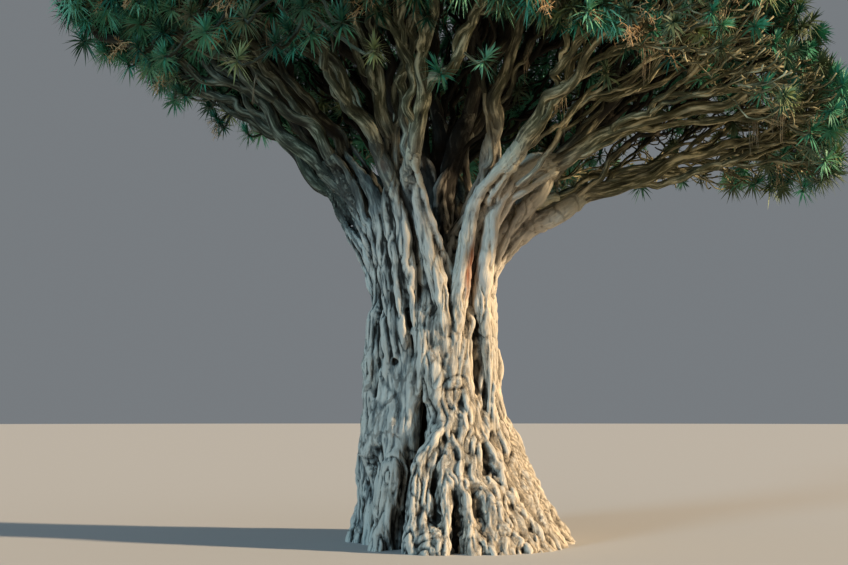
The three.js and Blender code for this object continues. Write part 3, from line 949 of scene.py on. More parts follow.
def eased(mesh, values, passes):
    """Values at the vertices, averaged with their neighbours over and over."""
    edges = np.empty(len(mesh.edges) * 2, np.int32)
    mesh.edges.foreach_get("vertices", edges)
    first, second = edges.reshape(-1, 2).T
    count = len(mesh.vertices)
    joins = np.bincount(first, minlength=count) + np.bincount(second, minlength=count)
    values = values.reshape(count, -1)
    for _ in range(passes):
        total = np.stack([
            np.bincount(first, column[second], count) + np.bincount(second, column[first], count)
            for column in values.T
        ], axis=1)
        values = (values + total / joins[:, None]) / 2
    return values


def straightened(points, strands):
    """Each point's place across and along the strand that it lies nearest to."""
    turned = [frames(line) for line, _ in strands]
    centres = np.concatenate([line for line, _ in strands])
    ways, across, over = (np.concatenate([frame[i] for frame in turned]) for i in range(3))
    radii = np.concatenate([thick for _, thick in strands])
    lengths = np.concatenate([lengths_along(line) + i * 7.3 for i, (line, _) in enumerate(strands)])
    tree = search_tree(centres)
    nearest = [min((gap - radii[i], i) for _, i, gap in tree.find_n(point, 5))[1] for point in points]
    nearest = np.array(nearest)
    apart = points - centres[nearest]
    places = [np.sum(apart * side[nearest], axis=1) for side in (across, over, ways)]
    return np.stack([places[0], places[1], places[2] + lengths[nearest]], axis=1)


def bark_height(points):
    """The bark's relief: long folds with sharp creases, knobs and pits, and wrinkles at the foot."""
    x, _, z = points.T
    warp = noise_ways(points, 0.6, BARK_WARP)
    along = points + warp * 0.13
    folds = np.sqrt(np.abs(soft_noise(along, (0.17, 0.17, 1.5), FOLDS)))
    fine = np.sqrt(np.abs(soft_noise(along + warp * 0.05, (0.075, 0.075, 0.6), FINE_FOLDS)))
    knobs = soft_noise(points + warp * 0.1, 0.26, KNOBS)
    pits = np.clip(soft_noise(along, (0.1, 0.1, 0.22), PITS) - 0.3, 0, 1)
    low = ramp(2.7 - z, 1.2) * np.clip(1.2 + x, 0, 1)
    scallops = np.sqrt(np.abs(soft_noise(along, (0.2, 0.2, 0.14), SCALLOPS)))
    quiet = 1 - 0.75 * smoothness(bearing_of(points), z) - 0.6 * ramp(z - 6.4, 1.8)
    relief = 0.1 * (folds - 0.55) + 0.035 * (fine - 0.55) - 0.05 * pits + 0.02 * low * (scallops - 0.55)
    return relief * quiet + 0.035 * knobs


def scar_height(points):
    """A lens-shaped scar: a low swelling with a crease round it."""
    bearing, height, half_width, half_height = SCAR
    x, y, z = points.T
    across = np.radians(bearing_gap(bearing_of(points), bearing)) * WAIST
    front = np.hypot(x, y) > 1.2
    arch = height + 0.07 * (1 - (across / half_width) ** 2) + 0.12 * across
    away = np.hypot(across / half_width, (z - arch) / half_height)
    swelling = np.exp(-((away / 0.75) ** 4))
    crease = np.exp(-(((away - 1.0) / 0.2) ** 2))
    return front * (0.075 * swelling - 0.027 * crease)


def trunk_stain(points):
    """How much of the trunk's colour is dried sap, in one long stain and a few small ones."""
    middle, height, half_width, half_height = SAP
    x, y, z = points.T
    lean = (z - height) * 0.12
    away = np.hypot((x - middle - lean) / half_width, (z - height) / half_height)
    main = np.clip((1.2 - away) * 1.6, 0, 1) * (y < -0.6)
    spots = np.clip(soft_noise(points, (0.3, 0.3, 0.7), SAP_SPOTS) * 2.6 - 1.9, 0, 1) * (z > 2)
    mottle = 0.75 + 0.4 * soft_noise(points, (0.06, 0.06, 0.3), SAP_MOTTLE)
    return np.clip(np.maximum(main * 0.8, 0.3 * spots) * mottle, 0, 1)


def painted_shade_light_and_wear_at(points, narrow, wide):
    """How much painted shade, or pale wear and painted light, the bark gets: darker in its narrow and wide
    hollows, in recesses, between the stems, deep in the crown and on the shaded left, paler on the smooth
    mass and the lit right stems.
    """
    x, y, z = points.T
    bearing = bearing_of(points)
    # Painted shade in the deep recesses, between the stems and deep in the crown.
    let_in = recess(bearing, z) * ramp(6.4 - z, 1.2)
    painted_shade_between_stems = ramp(1.35 - np.hypot(x, y), 0.4) * ramp(z - 5.2, 0.8)
    let_in += 0.8 * painted_shade_between_stems + inwardness(points) * 0.6
    # Painted shade on the shaded left side, stronger in its creases and on its upper stems; the smooth mass
    # is painted paler as painted light.
    shade = np.clip(0.5 - x / 1.5, 0, 1)
    painted_left_shade = ramp(-0.5 - x, 0.7) * np.clip(z - 5.0, 0, 1)
    let_in += 0.5 * painted_left_shade - 0.3 * smoothness(bearing, z)
    # More painted shade higher up, to meet the limbs' painted shade; painted light on the lit right stems.
    let_in += 0.12 * np.clip(z - 7.8, 0, 1)
    let_in -= 0.35 * ramp(x - 1.0, 0.5) * ramp(z - 5.5, 0.8)
    hollow = 0.43 + narrow * (11 + 9 * shade) + wide * (4.2 + 3.4 * shade) + let_in * 0.5
    # The top of the shaded left stems is kept dark as painted shade.
    least = 0.68 * painted_left_shade * ramp(z - 7.5, 1.1)
    return np.clip(hollow, least, 1)


def move_points(mesh, points):
    mesh.vertices.foreach_set("co", points.astype(np.float32).ravel())
    mesh.update()


def relieve(mesh, strands):
    """Gives the fused strands their bark's relief, and writes what the bark's colour reads."""
    points = eased(mesh, points_of(mesh), 3)
    write_vectors(mesh, "grain", straightened(points, strands))
    move_points(mesh, points)
    height = bark_height(points) + scar_height(points)
    points = points + normals_of(mesh) * height[:, None]
    move_points(mesh, points)
    normals = normals_of(mesh)
    narrow, wide = (np.sum((eased(mesh, points, passes) - points) * normals, axis=1) for passes in (10, 70))
    # The bark's painted shade, painted light and wear, then its sap stain.
    write_numbers(mesh, "hollow", painted_shade_light_and_wear_at(points, narrow, wide))
    write_numbers(mesh, "stain", trunk_stain(points))


def cut_level(obj, height, keep_above):
    """Cuts a piece level at a height and closes the cut with a flat face."""
    select_only(obj)
    bpy.ops.object.mode_set(mode="EDIT")
    bpy.ops.mesh.select_all(action="SELECT")
    bpy.ops.mesh.bisect(
        plane_co=(0, 0, height), plane_no=(0, 0, 1), use_fill=True,
        clear_inner=keep_above, clear_outer=not keep_above,
    )
    bpy.ops.mesh.faces_shade_flat()
    bpy.ops.object.mode_set(mode="OBJECT")


def nearest_normals(whole):
    """Gives each point the normal of the nearest vertex of a mesh, so that cuts through it don't show."""
    normals = normals_of(whole)
    tree = search_tree(points_of(whole))
    return lambda point: normals[tree.find(point)[1]]


def cut_out(whole, normal_at, name, low, high, nodes):
    """Shows the part of the fused mesh that lies between two levels as a piece of its own."""
    mesh = whole.copy()
    mesh.materials.clear()
    piece = show(name, mesh, [TRUNK_BARK], nodes)
    cut_level(piece, low, True)
    if high:
        cut_level(piece, high, False)
    points = points_of(mesh)
    move_points(mesh, np.maximum(points, (-99, -99, 0)))
    normals = normals_of(mesh)
    levels = np.array([low, high or low])
    for i in np.flatnonzero(np.any(np.abs(points[:, 2:] - levels) < 1e-4, axis=1)):
        normals[i] = normal_at(points[i])
    mesh.normals_split_custom_set_from_vertices(normals)


def thinned(obj, most):
    """Brings a mesh down to its number of triangles, and shades it smooth."""
    triangles = len(obj.data.loops) - 2 * len(obj.data.polygons)
    apply_modifier(obj, "DECIMATE", ratio=most / triangles)
    smooth_faces(obj.data)


def grow_strands():
    """Every strand of the trunk and stems, as lines with their radii."""
    rng = np.random.default_rng(SEED)
    strands = main_strands(rng) + thin_strands(rng) + inner_strands(rng, behind=7, before=3)
    strands += skirt_strands(rng)
    strands += inner_strands(np.random.default_rng(SEED + 3), behind=3, before=2) + crossing_strands()
    strands += [set_strand(*strand) for strand in TRUNK_STRANDS]
    strands += [stem_front_strand(*strand) for strand in STEM_STRANDS]
    return strands


def add_stems(pile):
    """The solid under the strands of each stem."""
    for name, (size, *_) in STEMS.items():
        line = bezier(stem_controls(name), 24)
        line = np.concatenate([line[:1] - UP * 0.8, line])
        add_tube(pile, line, np.linspace(size["foot"] * 0.6, size["tip"] * 0.3, len(line)), 16)


def add_bough_feet(pile, crown):
    """The first stretch of each bough, from deep in its stem until the fused wood lets it go."""
    for number, grown in enumerate(crown):
        places = np.arange(0, FUSED_LENGTH, 0.1)
        thick = along_line(grown["line"], places, limb_radius(grown["counts"]))
        line = np.concatenate([bough_root(number), along_line(grown["line"], places)])
        thick = np.concatenate([np.full(4, thick[0]), thick * np.interp(places, *FUSED_SHARE)])
        add_tube(pile, smoothed(line, 3), thick, 16)


def make_trunk(crown):
    """The trunk, the stems and the boughs' feet, fused and cut into four pieces."""
    strands = grow_strands()
    pile = Pile()
    add_core(pile)
    add_stems(pile)
    add_bough_feet(pile, crown)
    for line, radii in strands:
        add_tube(pile, line, radii, 12)
    fused = bpy.data.objects.new("fused", pile.mesh("fused"))
    bpy.context.scene.collection.objects.link(fused)
    apply_modifier(fused, "REMESH", mode="VOXEL", voxel_size=VOXEL)
    relieve(fused.data, strands)
    thinned(fused, FUSED_TRIANGLES)
    stems = [f"stem_{name}" for name in STEMS]
    normal_at = nearest_normals(fused.data)
    cut_out(fused.data, normal_at, "trunk_foot", 0.0, FOOT_TOP, ["trunk"])
    cut_out(fused.data, normal_at, "fluted_trunk", FOOT_TOP, TRUNK_TOP, ["trunk"])
    cut_out(fused.data, normal_at, "fused_stems", TRUNK_TOP, STEMS_TOP, stems)
    cut_out(fused.data, normal_at, "stem_forks", STEMS_TOP, None, stems)
    bpy.data.objects.remove(fused)


# The crown. Each tip of a twig carries a rosette. Tips are spread over the dome at an even
# spacing, shared out to the masses, and joined back to their boughs by forks.
LAYERS = [
    # Depth under the dome's skin, how much it varies, spacing, and the highest latitude.
    (0.42, 0.3, 0.292, 90),
    (1.3, 0.5, 0.62, 50),
    (2.3, 0.6, 0.5, 30),
]
LOWEST_LATITUDE = -15
# An old crown is made of mounds: how far apart their tops are, and how deep the gaps between them.
MOUND_SPACING = 2.0
MOUND_DEPTH = 0.5
# A limb's radius grows with the number of tips that it carries, by this power.
TWIG_RADIUS = 0.034
THICKENING = 0.37
LEAST_TIPS_OF_LIMB = 10  # what carries fewer is a twig


def openness(points):
    """How open the crown is at each point, from 0 to 1: the low right side is all fine bare twigs."""
    bearing = bearing_of(points)
    right = np.clip(np.where(bearing > 0, (66 - bearing) / 16, (84 + bearing) / 22), 0, 1)
    return right * ramp(13.4 - points[:, 2], 1.6)


def scatter(rng, depth, spread, spacing, top):
    """Points under the dome's skin that keep their distance from each other."""
    tries = int(9000 / spacing)
    bearings = rng.uniform(-180, 180, tries)
    heights = rng.uniform(math.sin(math.radians(LOWEST_LATITUDE)), math.sin(math.radians(top)), tries)
    points, normals, _ = dome_point(bearings, np.degrees(np.arcsin(heights)), depth)
    cells, kept = {}, []
    for i, point in enumerate(points):
        cell = tuple((point // spacing).astype(int))
        near = (
            j
            for step in np.ndindex(3, 3, 3)
            for j in cells.get((cell[0] + step[0] - 1, cell[1] + step[1] - 1, cell[2] + step[2] - 1), ())
        )
        if all(math.dist(point, points[j]) > spacing for j in near):
            cells.setdefault(cell, []).append(i)
            kept.append(i)
    points, normals = points[kept], normals[kept]
    stray = soft_noise(points, 1.5, CROWN_LUMPS) * 0.6 + soft_noise(points, 0.5, CROWN_GRAIN) * 0.4 + 0.3
    return points - normals * (stray * spread)[:, None], normals


def mounded(points, normals, rng):
    """The points let in between the mounds of an old crown, and how each leans out from its mound."""
    mounds, _ = scatter(rng, 0.4, 0.0, MOUND_SPACING, 90)
    gaps = points[:, None] - mounds
    nearest = np.argmin(np.sum(gaps**2, axis=2), axis=1)
    away = gaps[np.arange(len(points)), nearest]
    away = away - normals * np.sum(away * normals, axis=1)[:, None]
    share = np.linalg.norm(away, axis=1) / (MOUND_SPACING * 0.62)
    let_in = MOUND_DEPTH * np.clip(share, 0, 1.2) ** 2 + rng.uniform(0, 0.3, len(mounds))[nearest]
    return points - normals * let_in[:, None], away / MOUND_SPACING


def clusters(points, count, rng):
    """The points shared out to count groups by nearness, as an array of group numbers."""
    middles = [points[rng.integers(len(points))]]
    while len(middles) < count:
        gaps = np.min([np.sum((points - m) ** 2, axis=1) for m in middles], axis=0)
        middles.append(points[np.argmax(gaps * rng.uniform(0.6, 1, len(points)))])
    middles = np.array(middles)
    for _ in range(8):
        group = np.argmin(np.sum((points[:, None] - middles) ** 2, axis=2), axis=1)
        for i in range(count):
            if np.any(group == i):
                middles[i] = points[group == i].mean(axis=0)
    return group


def branching(start, way, tips, rng):
    """A fork and all that grows from it: its place, its tips, and its branches. A tip has none."""
    if len(tips["at"]) == 1:
        return {"at": tips["at"][0], "tip": tips["index"][0], "count": 1, "branches": []}
    count = len(tips["at"])
    gap = tips["at"].mean(axis=0) - start
    length = np.linalg.norm(gap)
    share = rng.uniform(0.26, 0.42) if count > 3 else rng.uniform(0.38, 0.54)
    aim = unit(unit(gap) + way * 0.3 + rng.normal(0, 0.13, 3))
    at = start + aim * length * share
    parts = 3 if count > 6 and rng.random() < 0.3 else 2
    group = clusters(tips["at"], parts, rng)
    branches = []
    for number in range(parts):
        chosen = group == number
        if chosen.any():
            own = {"at": tips["at"][chosen], "index": tips["index"][chosen]}
            branches.append(branching(at, unit(at - start), own, rng))
    branches.sort(key=lambda branch: -branch["count"])
    return {"at": at, "tip": None, "count": count, "branches": branches}


def limb_lines(fork, start, way, made):
    """Collects limbs as lists of forks: each fork's largest branch carries its limb on."""
    path, counts, node, point = [start], [], fork, start
    while True:
        path.append(node["at"])
        counts.append(node["count"])
        for side in node["branches"][1:]:
            limb_lines(side, node["at"], unit(node["at"] - point), made)
        if not node["branches"]:
            break
        point, node = node["at"], node["branches"][0]
    made.append({"path": np.array(path), "counts": counts, "way": way, "tip": node["tip"]})


def limb_radius(count):
    """The radius of a limb that carries this many tips."""
    return TWIG_RADIUS * np.asarray(count, float) ** THICKENING


def limb_curve(limb, end_way, number):
    """A limb's curve through its forks, with its radius along it. It swings wide out of each fork."""
    path = limb["path"]
    gaps = np.linalg.norm(np.diff(path, axis=0), axis=1)
    ahead = unit(path[1] - path[0])
    sideways = shifted_ways(path, 0.5, LIMB_SWING, number * 2.3 + np.array([0.0, 17.9, 31.3]))
    ways = np.empty_like(path)
    ways[1:-1] = (path[2:] - path[:-2]) / (gaps[1:] + gaps[:-1])[:, None] + sideways[1:-1] * 0.5
    ways[0] = unit(ahead + (ahead - limb["way"]) * 0.55 + sideways[0] * 0.25)
    ways[-1] = end_way
    spacing = 0.11 if limb["counts"][0] > 10 else 0.16
    points, radii = [], []
    for i, gap in enumerate(gaps):
        steps = max(2, int(gap / spacing))
        s = np.arange(steps)[:, None] / steps
        one, two = path[i], path[i + 1]
        lift = ways[i] * gap, ways[i + 1] * gap
        curve = (
            (2 * s**3 - 3 * s**2 + 1) * one + (s**3 - 2 * s**2 + s) * lift[0]
            + (3 * s**2 - 2 * s**3) * two + (s**3 - s**2) * lift[1]
        )
        shifts = line_shifts(number)
        ripple = 0.3 * shifted_ways(curve, 0.3, LIMB_RIPPLE, shifts)
        waver = shifted_ways(curve, 0.9, LIMB_WAVER, shifts) + ripple
        points.append(curve + waver * np.sin(math.pi * s) * 0.2 * min(gap, 1.5))
        here = limb_radius(limb["counts"][i])
        nearer = limb_radius(limb["counts"][i - 1]) if i else here
        swell = 1 + 0.16 * np.exp(-((s[:, 0] * gap / (here * 2.2)) ** 2))
        radii.append((here + (nearer - here) * np.exp(-s[:, 0] * gap / (here * 3))) * swell)
    points.append(path[-1:])
    radii.append(np.array([limb_radius(1) * 1.15]))
    points, radii = np.concatenate(points), np.concatenate(radii)
    return points, radii * (1 + 0.15 * soft_noise(points, 0.22, LIMB_GIRTH)) * (1 - 0.42 * openness(points))


def sides_for(radius):
    """How many sides a limb's tube has."""
    return 5 if radius < 0.062 else 6 if radius < 0.1 else 8 if radius < 0.15 else 12


def grow_crown():
    """The whole crown's limbs, each with its curve and radii, and each tip's place and directions."""
    rng = np.random.default_rng(SEED + 1)
    layers = [scatter(rng, *layer) for layer in LAYERS]
    points = np.concatenate([points for points, _ in layers])
    normals = np.concatenate([normals for _, normals in layers])
    points, lean = mounded(points, normals, rng)
    inner = np.repeat([False, False, True], [len(points) for points, _ in layers])
    # The low right side ends in a level rim, and only there the crown has tips deep inside.
    kept = points[:, 2] > np.where(points[:, 0] > 0, 9.05 + 0.2 * points[:, 1], 0)
    kept &= ~inner | (openness(points) > 0.5)
    points, normals, lean = points[kept], normals[kept], lean[kept]
    centres = np.array([mass_centre(bough) for bough in BOUGHS])
    owner = np.argmin(np.sum((points[:, None] - centres) ** 2, axis=2), axis=1)
    tip_ways = unit(normals * 0.4 + UP * 0.6 + lean * 0.7 + rng.normal(0, 0.16, points.shape))
    crown = []
    for number, bough in enumerate(BOUGHS):
        own = np.flatnonzero(owner == number)
        crown.append(grow_bough(number, bough, points[own], own, rng))
    return crown, points, tip_ways, owner


def grow_bough(number, bough, tips, index, rng):
    """A bough's limbs: its main line, which runs on to its own tips, and the limbs that leave it."""
    line = bough_line(number)
    groups = 5 if len(tips) > 60 else 4
    group = clusters(tips, groups, rng)
    middles = np.array([tips[group == i].mean(axis=0) for i in range(groups)])
    ahead = unit(line[-1] - line[-12])
    offset = middles - line[-1]
    astray = np.linalg.norm(offset - (offset @ ahead)[:, None] * ahead, axis=1)
    limbs, left = [], np.zeros(LINE_POINTS)
    # The limbs on the left leave later, so none hangs low there.
    least = 34 if bough[0] in ("left", "back_left") else 6
    for rank, i in enumerate(np.argsort(astray)):
        own = {"at": tips[group == i], "index": index[group == i]}
        place = LINE_POINTS - 1 if rank == 0 else max(least, int(72 - rank * 15 + rng.uniform(-7, 7)))
        start, way = line[place], unit(line[place] - line[place - 2])
        # The last limb of some boughs leaves their stem instead.
        if rank == groups - 1 and bough[0] in ("back", "front_left", "front_right"):
            stem = bezier(stem_controls(bough[0]), 20)
            start, way = stem[rng.integers(14, 18)], unit(stem[-1] - stem[10])
        made = []
        limb_lines(branching(start, way, own, rng), start, way, made)
        left[place:] += len(own["index"]) if rank else 0
        main = made[-1] if rank == 0 else main
        limbs.extend(made if rank else made[:-1])
    return {"line": line, "counts": smoothed(len(tips) - left, 12), "main": main, "limbs": limbs}


def add_limbs(boughs, twigs, limbs, tip_ways, first_number):
    """The limbs that leave a bough, as tubes. Returns the curves of those that are neither thin nor thick."""
    lines = []
    for number, limb in enumerate(limbs, first_number):
        points, radii = limb_curve(limb, tip_ways[limb["tip"]], number)
        carried = limb["counts"][0]
        pile = boughs if carried >= LEAST_TIPS_OF_LIMB else twigs
        add_tube(pile, points, radii, sides_for(radii[0]), grain_shift=number * 1.7)
        if 2 < carried < 40:
            lines.append((points, radii))
    return lines


BOUGH_SIDES = 18


def add_bough(pile, grown, tip_ways, number):
    """A bough's main line, with shallow flutes that fade out along it."""
    line, counts = grown["line"], grown["counts"]
    ahead, ahead_radii = limb_curve(grown["main"], tip_ways[grown["main"]["tip"]], number)
    radii = limb_radius(counts) * np.interp(lengths_along(line), *HIDDEN_SHARE)
    points = np.concatenate([line, ahead[1:]])
    radii = np.concatenate([radii, ahead_radii[1:]])
    places = np.arange(0, lengths_along(points)[-1], 0.09)
    radii = smoothed(along_line(points, places, radii), 6)
    points = along_line(points, places)
    turn = np.arange(BOUGH_SIDES) * 2 * math.pi / BOUGH_SIDES
    ring = np.stack([np.cos(turn), np.sin(turn), turn * 0], axis=1) * 0.22
    shift = number * 9.1
    at = ring[None] + np.stack([places * 0, places * 0, places + shift], axis=1)[:, None]
    flutes = soft_noise(at, (0.13, 0.13, 0.9), FLUTES) * 0.17
    flutes = flutes + soft_noise(at, (0.2, 0.2, 0.35), FINE_FLUTES) * 0.12
    add_tube(pile, points, radii, BOUGH_SIDES, grain_shift=shift, flutes=flutes)


LEAVES_IN_ROSETTE = 54
GOLDEN_ANGLE = 2.39996
LEAF_LENGTH = 0.54
LEAF_HALF_WIDTH = 0.021
LEAF_STATIONS = ((0.0, 0.8), (0.5, 1.0))  # how far along a leaf its sides bend, and their share of its width
LEAF_POINTS = 5
LEAF_FACES = ((0, 1, 3, 2), (2, 3, 4))
FRONT_LEFT = -140  # the bearing where most shoots and dry flower heads are
# The rosettes that hang lowest at the front left, and the mass that they belong to.
LOW_ROSETTES_GROW_ON = "rim_240"
LOW_ROSETTES = [
    (-1.8, -8.3, 10.75), (-3.2, -7.4, 10.6), (-4.8, -6.4, 11.2), (-4.1, -6.5, 10.55), (-6.1, -4.4, 11.3),
    (-5.2, -6.0, 11.7), (-3.9, -6.9, 11.3), (-2.6, -7.9, 11.2), (-6.9, -3.6, 11.7), (-1.2, -7.6, 10.4),
]


def add_rosettes(pile, places, ways, finish, sizes, rng):
    """Rosettes of strap leaves, upright at the middle and bent down at the edge."""
    many, each = len(places), LEAVES_IN_ROSETTE
    order = np.arange(each)
    tilt = np.radians(8 + 116 * ((order + 0.5) / each) ** 0.85) + rng.normal(0, 0.14, (many, each))
    turn = order * GOLDEN_ANGLE + rng.uniform(0, 6.3, (many, 1)) + rng.normal(0, 0.15, (many, each))
    side = unit(np.cross(ways, (0.36, 0.48, -0.8)))
    over = np.cross(ways, side)
    spoke = side[:, None] * np.cos(turn)[..., None] + over[:, None] * np.sin(turn)[..., None]
    aim = ways[:, None] * np.cos(tilt)[..., None] + spoke * np.sin(tilt)[..., None]
    length = (sizes[:, None] * LEAF_LENGTH * rng.uniform(0.78, 1.08, (many, each)))[..., None]
    wide = unit(np.cross(aim, ways[:, None]))
    foot = places[:, None] + ways[:, None] * (0.09 - 0.16 * order / each)[None, :, None]
    droop = (UP * 0.32 * np.sin(tilt)[..., None]) * length
    rows = []
    for share, width in LEAF_STATIONS:
        middle = foot + aim * length * share - droop * share**2
        half = wide * LEAF_HALF_WIDTH * width
        rows += [middle - half, middle + half]
    rows.append(foot + aim * length - droop)
    points = np.stack(rows, axis=2).reshape(-1, 3)
    first = np.arange(many * each)[:, None] * LEAF_POINTS
    pile.add(points, [first + np.array(corners) for corners in LEAF_FACES], np.repeat(finish, each))


def leaf_finishes(places, rng):
    """A leaf colour for each rosette: bluer on the left, greener and older on the right."""
    rightness = np.clip(0.4 + places[:, 0] / 18 + rng.normal(0, 0.12, len(places)), 0, 1)
    draw = rng.random(len(places))
    left = np.searchsorted([0.3, 0.7, 0.93, 0.98], draw)
    right = np.searchsorted([0.2, 0.42, 0.5, 0.86], draw)
    return np.where(rng.random(len(places)) < rightness, right, left)


def flower_stalk(rng):
    """One dry flower head: a bent stalk with side branches and their short sprigs."""
    pile = Pile()
    share = np.linspace(0, 1, 7)[:, None]
    spine = np.concatenate([share * 0.5, share * 0, share * 0.34 - share**2 * 0.62], axis=1)
    add_tube(pile, spine, np.linspace(0.013, 0.005, 7), 4)
    for order in range(11):
        at = along_line(spine, np.array([0.16 + order * 0.045]))[0]
        turn = order * 2.4 + rng.uniform(-0.3, 0.3)
        out = unit(np.array([0.55, math.cos(turn), math.sin(turn) - 0.5]))
        length = rng.uniform(0.14, 0.26) * (1.15 - order * 0.045)
        branch = at + out * length * np.array([[0.0], [0.5], [1.0]]) - UP * np.array([[0.0], [0.02], [0.07]])
        add_tube(pile, branch, np.array([0.006, 0.005, 0.003]), 3)
        for sprig in range(5):
            start = along_line(branch, np.array([length * (0.25 + sprig * 0.17)]))[0]
            end = start + unit(out * 0.4 + rng.normal(0, 0.7, 3) - UP * 0.3) * rng.uniform(0.06, 0.11)
            add_tube(pile, np.array([start, end]), np.array([0.006, 0.003]), 3)
    return pile


SHOOT_TRIES = 6  # on each limb


def grow_shoots(lines, rng):
    """Short side shoots under the limbs, most of them at the front left: places, ways and tubes."""
    places, ways, tubes = [], [], []
    for points, radii in lines:
        i = rng.integers(len(points) // 5, len(points) - 2)
        at = points[i]
        bearing, reach = math.degrees(math.atan2(at[1], at[0])), math.hypot(at[0], at[1])
        leftness = math.exp(-((bearing_gap(bearing, FRONT_LEFT) / 62) ** 2))
        chance = (0.04 + 0.9 * leftness) * min(max((reach - 5.0) / 1.5, 0), 1) * (at[2] < 14.2)
        if rng.random() > chance * (1 - 0.8 * openness(at[None])[0]):
            continue
        out = unit(polar(bearing + rng.normal(0, 45), 1.0, 0.0) + rng.normal(0, 0.2, 3))
        end = at + out * rng.uniform(0.3, 0.6) + UP * rng.uniform(-0.5, 0.05)
        way = unit(out * 0.5 + UP * 0.75)
        shoot = bezier((at, at + out * 0.2 - UP * 0.14, end - way * 0.2, end), 6)
        tubes.append((shoot, np.linspace(0.04, 0.034, 6)))
        places.append(end)
        ways.append(way)
    return np.array(places), np.array(ways), tubes


def grow_low_rosettes(lines, rng):
    """The rosettes that hang lowest at the front left, each on a shoot from the nearest limb."""
    every = np.concatenate([points[len(points) // 3 :] for points, _ in lines])
    tubes = []
    for place in np.array(LOW_ROSETTES):
        gaps = np.linalg.norm(every - place, axis=1) + np.where(every[:, 2] < place[2], 2.0, 0.0)
        start = every[np.argmin(gaps)]
        sag = np.array([0.0, 0.0, -0.25 * np.linalg.norm(place - start)])
        shoot = bezier((start, start * 0.6 + place * 0.4 + sag, place - UP * 0.3, place), 10)
        tubes.append((waver_line(shoot, 0.4, 0.1, 7), np.linspace(0.05, 0.036, 10)))
    return np.array(LOW_ROSETTES), unit(UP + rng.normal(0, 0.2, (len(LOW_ROSETTES), 3))), tubes


def make_flower_stalks(places, ways, rng):
    """Dry flower heads that hang over the edges of the rosettes, most of them on the left."""
    kinds = [flower_stalk(rng) for _ in range(3)]
    leftness = np.exp(-((bearing_gap(bearing_of(places), FRONT_LEFT) / 60) ** 2))
    chance = 0.01 * (places[:, 0] < 2) + 0.22 * leftness * ramp(13.6 - places[:, 2], 2.0)
    pile = Pile()
    for i in np.flatnonzero(rng.random(len(places)) < chance):
        kind = kinds[rng.integers(len(kinds))]
        outward = unit(places[i] * (1, 1, 0) + rng.normal(0, 3.0, 3) * (1, 1, 0))
        turned = np.stack([outward, np.cross(UP, outward), UP]) * rng.uniform(0.9, 1.35)
        faces = [np.concatenate(kind.faces[sides]) for sides in (3, 4)]
        pile.add(places[i] + ways[i] * 0.1 + np.concatenate(kind.points) @ turned, faces)
    finish_piece("dry_flower_stalks", pile, [DRY_STALK], all_masses())


ROOT_BUNCHES = 90


def make_hanging_roots(lines, rng):
    """Bunches of thin roots that hang from the undersides of limbs."""
    pile = Pile()
    for _ in range(ROOT_BUNCHES):
        points, radii = lines[rng.integers(len(lines))]
        i = rng.integers(len(points) // 4, len(points) * 3 // 4)
        for _ in range(rng.integers(3, 12)):
            foot = points[i] + rng.normal(0, 0.07, 3) * (1, 1, 0.2) - UP * radii[i] * 0.6
            length = rng.uniform(0.15, 0.75) * rng.uniform(0.6, 1.4)
            share = np.linspace(0, 1, 5)[:, None]
            stray = rng.normal(0, 0.05, 3) * (1, 1, 0)
            root = foot - UP * share * length + stray * share + np.sin(share * 5 + foot[0]) * 0.012
            add_tube(pile, root, np.linspace(0.012, 0.004, 5), 3)
    finish_piece("hanging_roots", pile, [ROOT_SKIN], all_masses())


def all_masses():
    return [f"mass_{place_name(bough)}" for bough in BOUGHS]


def finish_piece(name, pile, materials, nodes, smooth=True):
    """Shows a pile as one piece of the tree."""
    mesh = pile.mesh(name)
    if smooth:
        smooth_faces(mesh)
    show(name, mesh, materials, nodes)


def add_shoots(twigs, place, lines, earlier_lines, rng):
    """The shoots of a mass, with its twigs. Returns the places and ways of their rosettes."""
    places, ways, tubes = grow_shoots(lines * SHOOT_TRIES, rng)
    if place == LOW_ROSETTES_GROW_ON:
        low_places, low_ways, low_tubes = grow_low_rosettes(earlier_lines + lines, rng)
        places = np.concatenate([places, low_places])
        ways = np.concatenate([ways, low_ways])
        tubes += low_tubes
    for points, radii in tubes:
        add_tube(twigs, points, radii, 5)
    return places, ways


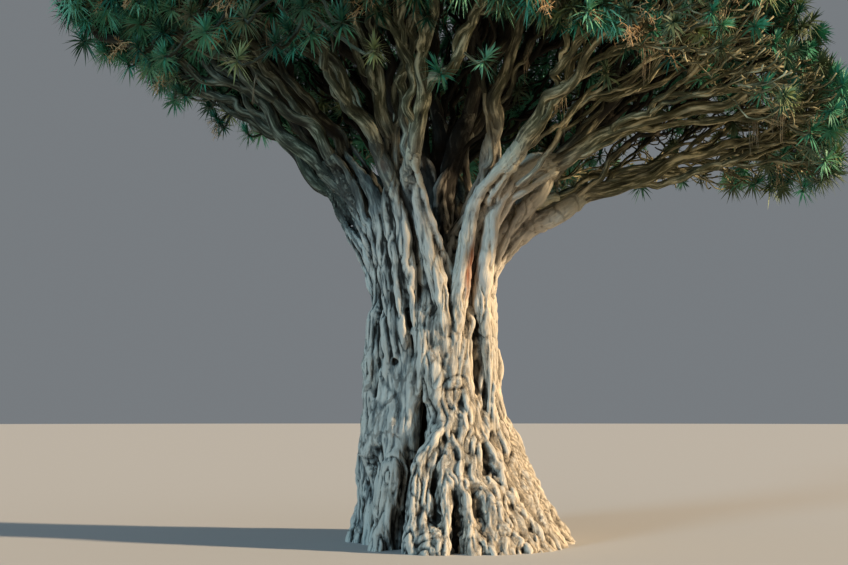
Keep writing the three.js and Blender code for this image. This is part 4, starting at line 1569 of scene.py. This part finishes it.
def make_crown(crown, tips, tip_ways, owner):
    """The boughs, twigs and leaves of each mass, then the dry stalks and hanging roots."""
    rng = np.random.default_rng(SEED + 2)
    # The low right side is nearly bare, but not its rim.
    bare = openness(tips) * np.clip((9.9 - tips[:, 0]) / 1.2, 0.3, 1)
    sizes = rng.uniform(0.84, 1.14, len(tips)) * (1 - 0.4 * bare)
    leafy = rng.random(len(tips)) > 0.86 * bare
    limb_number = 1
    every_line = []
    stalk_places, stalk_ways = [tips], [tip_ways]
    for number, (bough, grown) in enumerate(zip(BOUGHS, crown)):
        place = place_name(bough)
        boughs, twigs, leaves = Pile(), Pile(), Pile()
        add_bough(boughs, grown, tip_ways, number)
        lines = add_limbs(boughs, twigs, grown["limbs"], tip_ways, limb_number)
        limb_number += len(grown["limbs"])
        shoots, shoot_ways = add_shoots(twigs, place, lines, every_line, rng)
        own = np.flatnonzero((owner == number) & leafy)
        add_rosettes(leaves, tips[own], tip_ways[own], leaf_finishes(tips[own], rng), sizes[own], rng)
        if len(shoots):
            shoot_sizes = rng.uniform(0.7, 1.05, len(shoots))
            add_rosettes(leaves, shoots, shoot_ways, leaf_finishes(shoots, rng), shoot_sizes, rng)
            stalk_places.append(shoots)
            stalk_ways.append(shoot_ways)
        every_line += lines
        finish_piece(f"boughs_{place}", boughs, [LIMB_BARK], [f"bough_{place}"])
        finish_piece(f"twigs_{place}", twigs, [LIMB_BARK], [f"mass_{place}"])
        finish_piece(f"leaves_{place}", leaves, LEAVES, [f"mass_{place}"], smooth=False)
    make_flower_stalks(np.concatenate(stalk_places), np.concatenate(stalk_ways), rng)
    make_hanging_roots(every_line, rng)


grown_crown = grow_crown()
make_trunk(grown_crown[0])
make_crown(*grown_crown)

# The camera stands as the photo's did: a 50 mm lens on 36 mm film, at eye level, tilted up.
EYE = (-0.206, -30.4, 3.2)
TILT = 6.4

camera_data = bpy.data.cameras.new("camera")
camera_data.lens = 50
camera_data.sensor_width = 36
camera = bpy.data.objects.new("camera", camera_data)
camera.location = EYE
camera.rotation_euler = (math.radians(90 + TILT), 0, 0)
camera_data.clip_end = 1000
bpy.context.scene.collection.objects.link(camera)
bpy.context.scene.camera = camera


def add_sun(name, bearing, height, colour, strength, spread):
    """Light from far off, at a bearing and a height above the level, from a disc as wide as its spread."""
    data = bpy.data.lights.new(name, "SUN")
    data.color = linear(colour)[:3]
    data.energy = strength
    data.angle = math.radians(spread)
    lamp = bpy.data.objects.new(name, data)
    way = polar(bearing, math.cos(math.radians(height)), math.sin(math.radians(height)))
    lamp.rotation_mode = "QUATERNION"
    lamp.rotation_quaternion = Vector(way).to_track_quat("Z", "Y")
    bpy.context.scene.collection.objects.link(lamp)


# A low warm light from the right, and a soft blue one from the front left.
add_sun("key", bearing=-15, height=17, colour="#ffe2bd", strength=7.8, spread=3)
add_sun("fill", bearing=-132, height=10, colour="#9dcbe8", strength=2.8, spread=16)

world = bpy.data.worlds.new("studio")
world.use_nodes = True
world.node_tree.nodes["Background"].inputs["Color"].default_value = linear("#dbe3ea")
world.node_tree.nodes["Background"].inputs["Strength"].default_value = 0.26
bpy.context.scene.world = world

# A plain pale floor of matt board, which takes the shadow softly.
bpy.ops.mesh.primitive_circle_add(vertices=96, radius=400, fill_type="NGON", location=(0, 0, 0))
floor = bpy.context.object
floor.name = "floor"
floor_material, _, floor_shader = new_material("pale_studio_floor")
floor_shader.inputs["Base Color"].default_value = linear("#bcbcba")
floor_shader.inputs["Roughness"].default_value = 0.9
floor.data.materials.append(floor_material)

bpy.context.scene.view_settings.view_transform = "Standard"
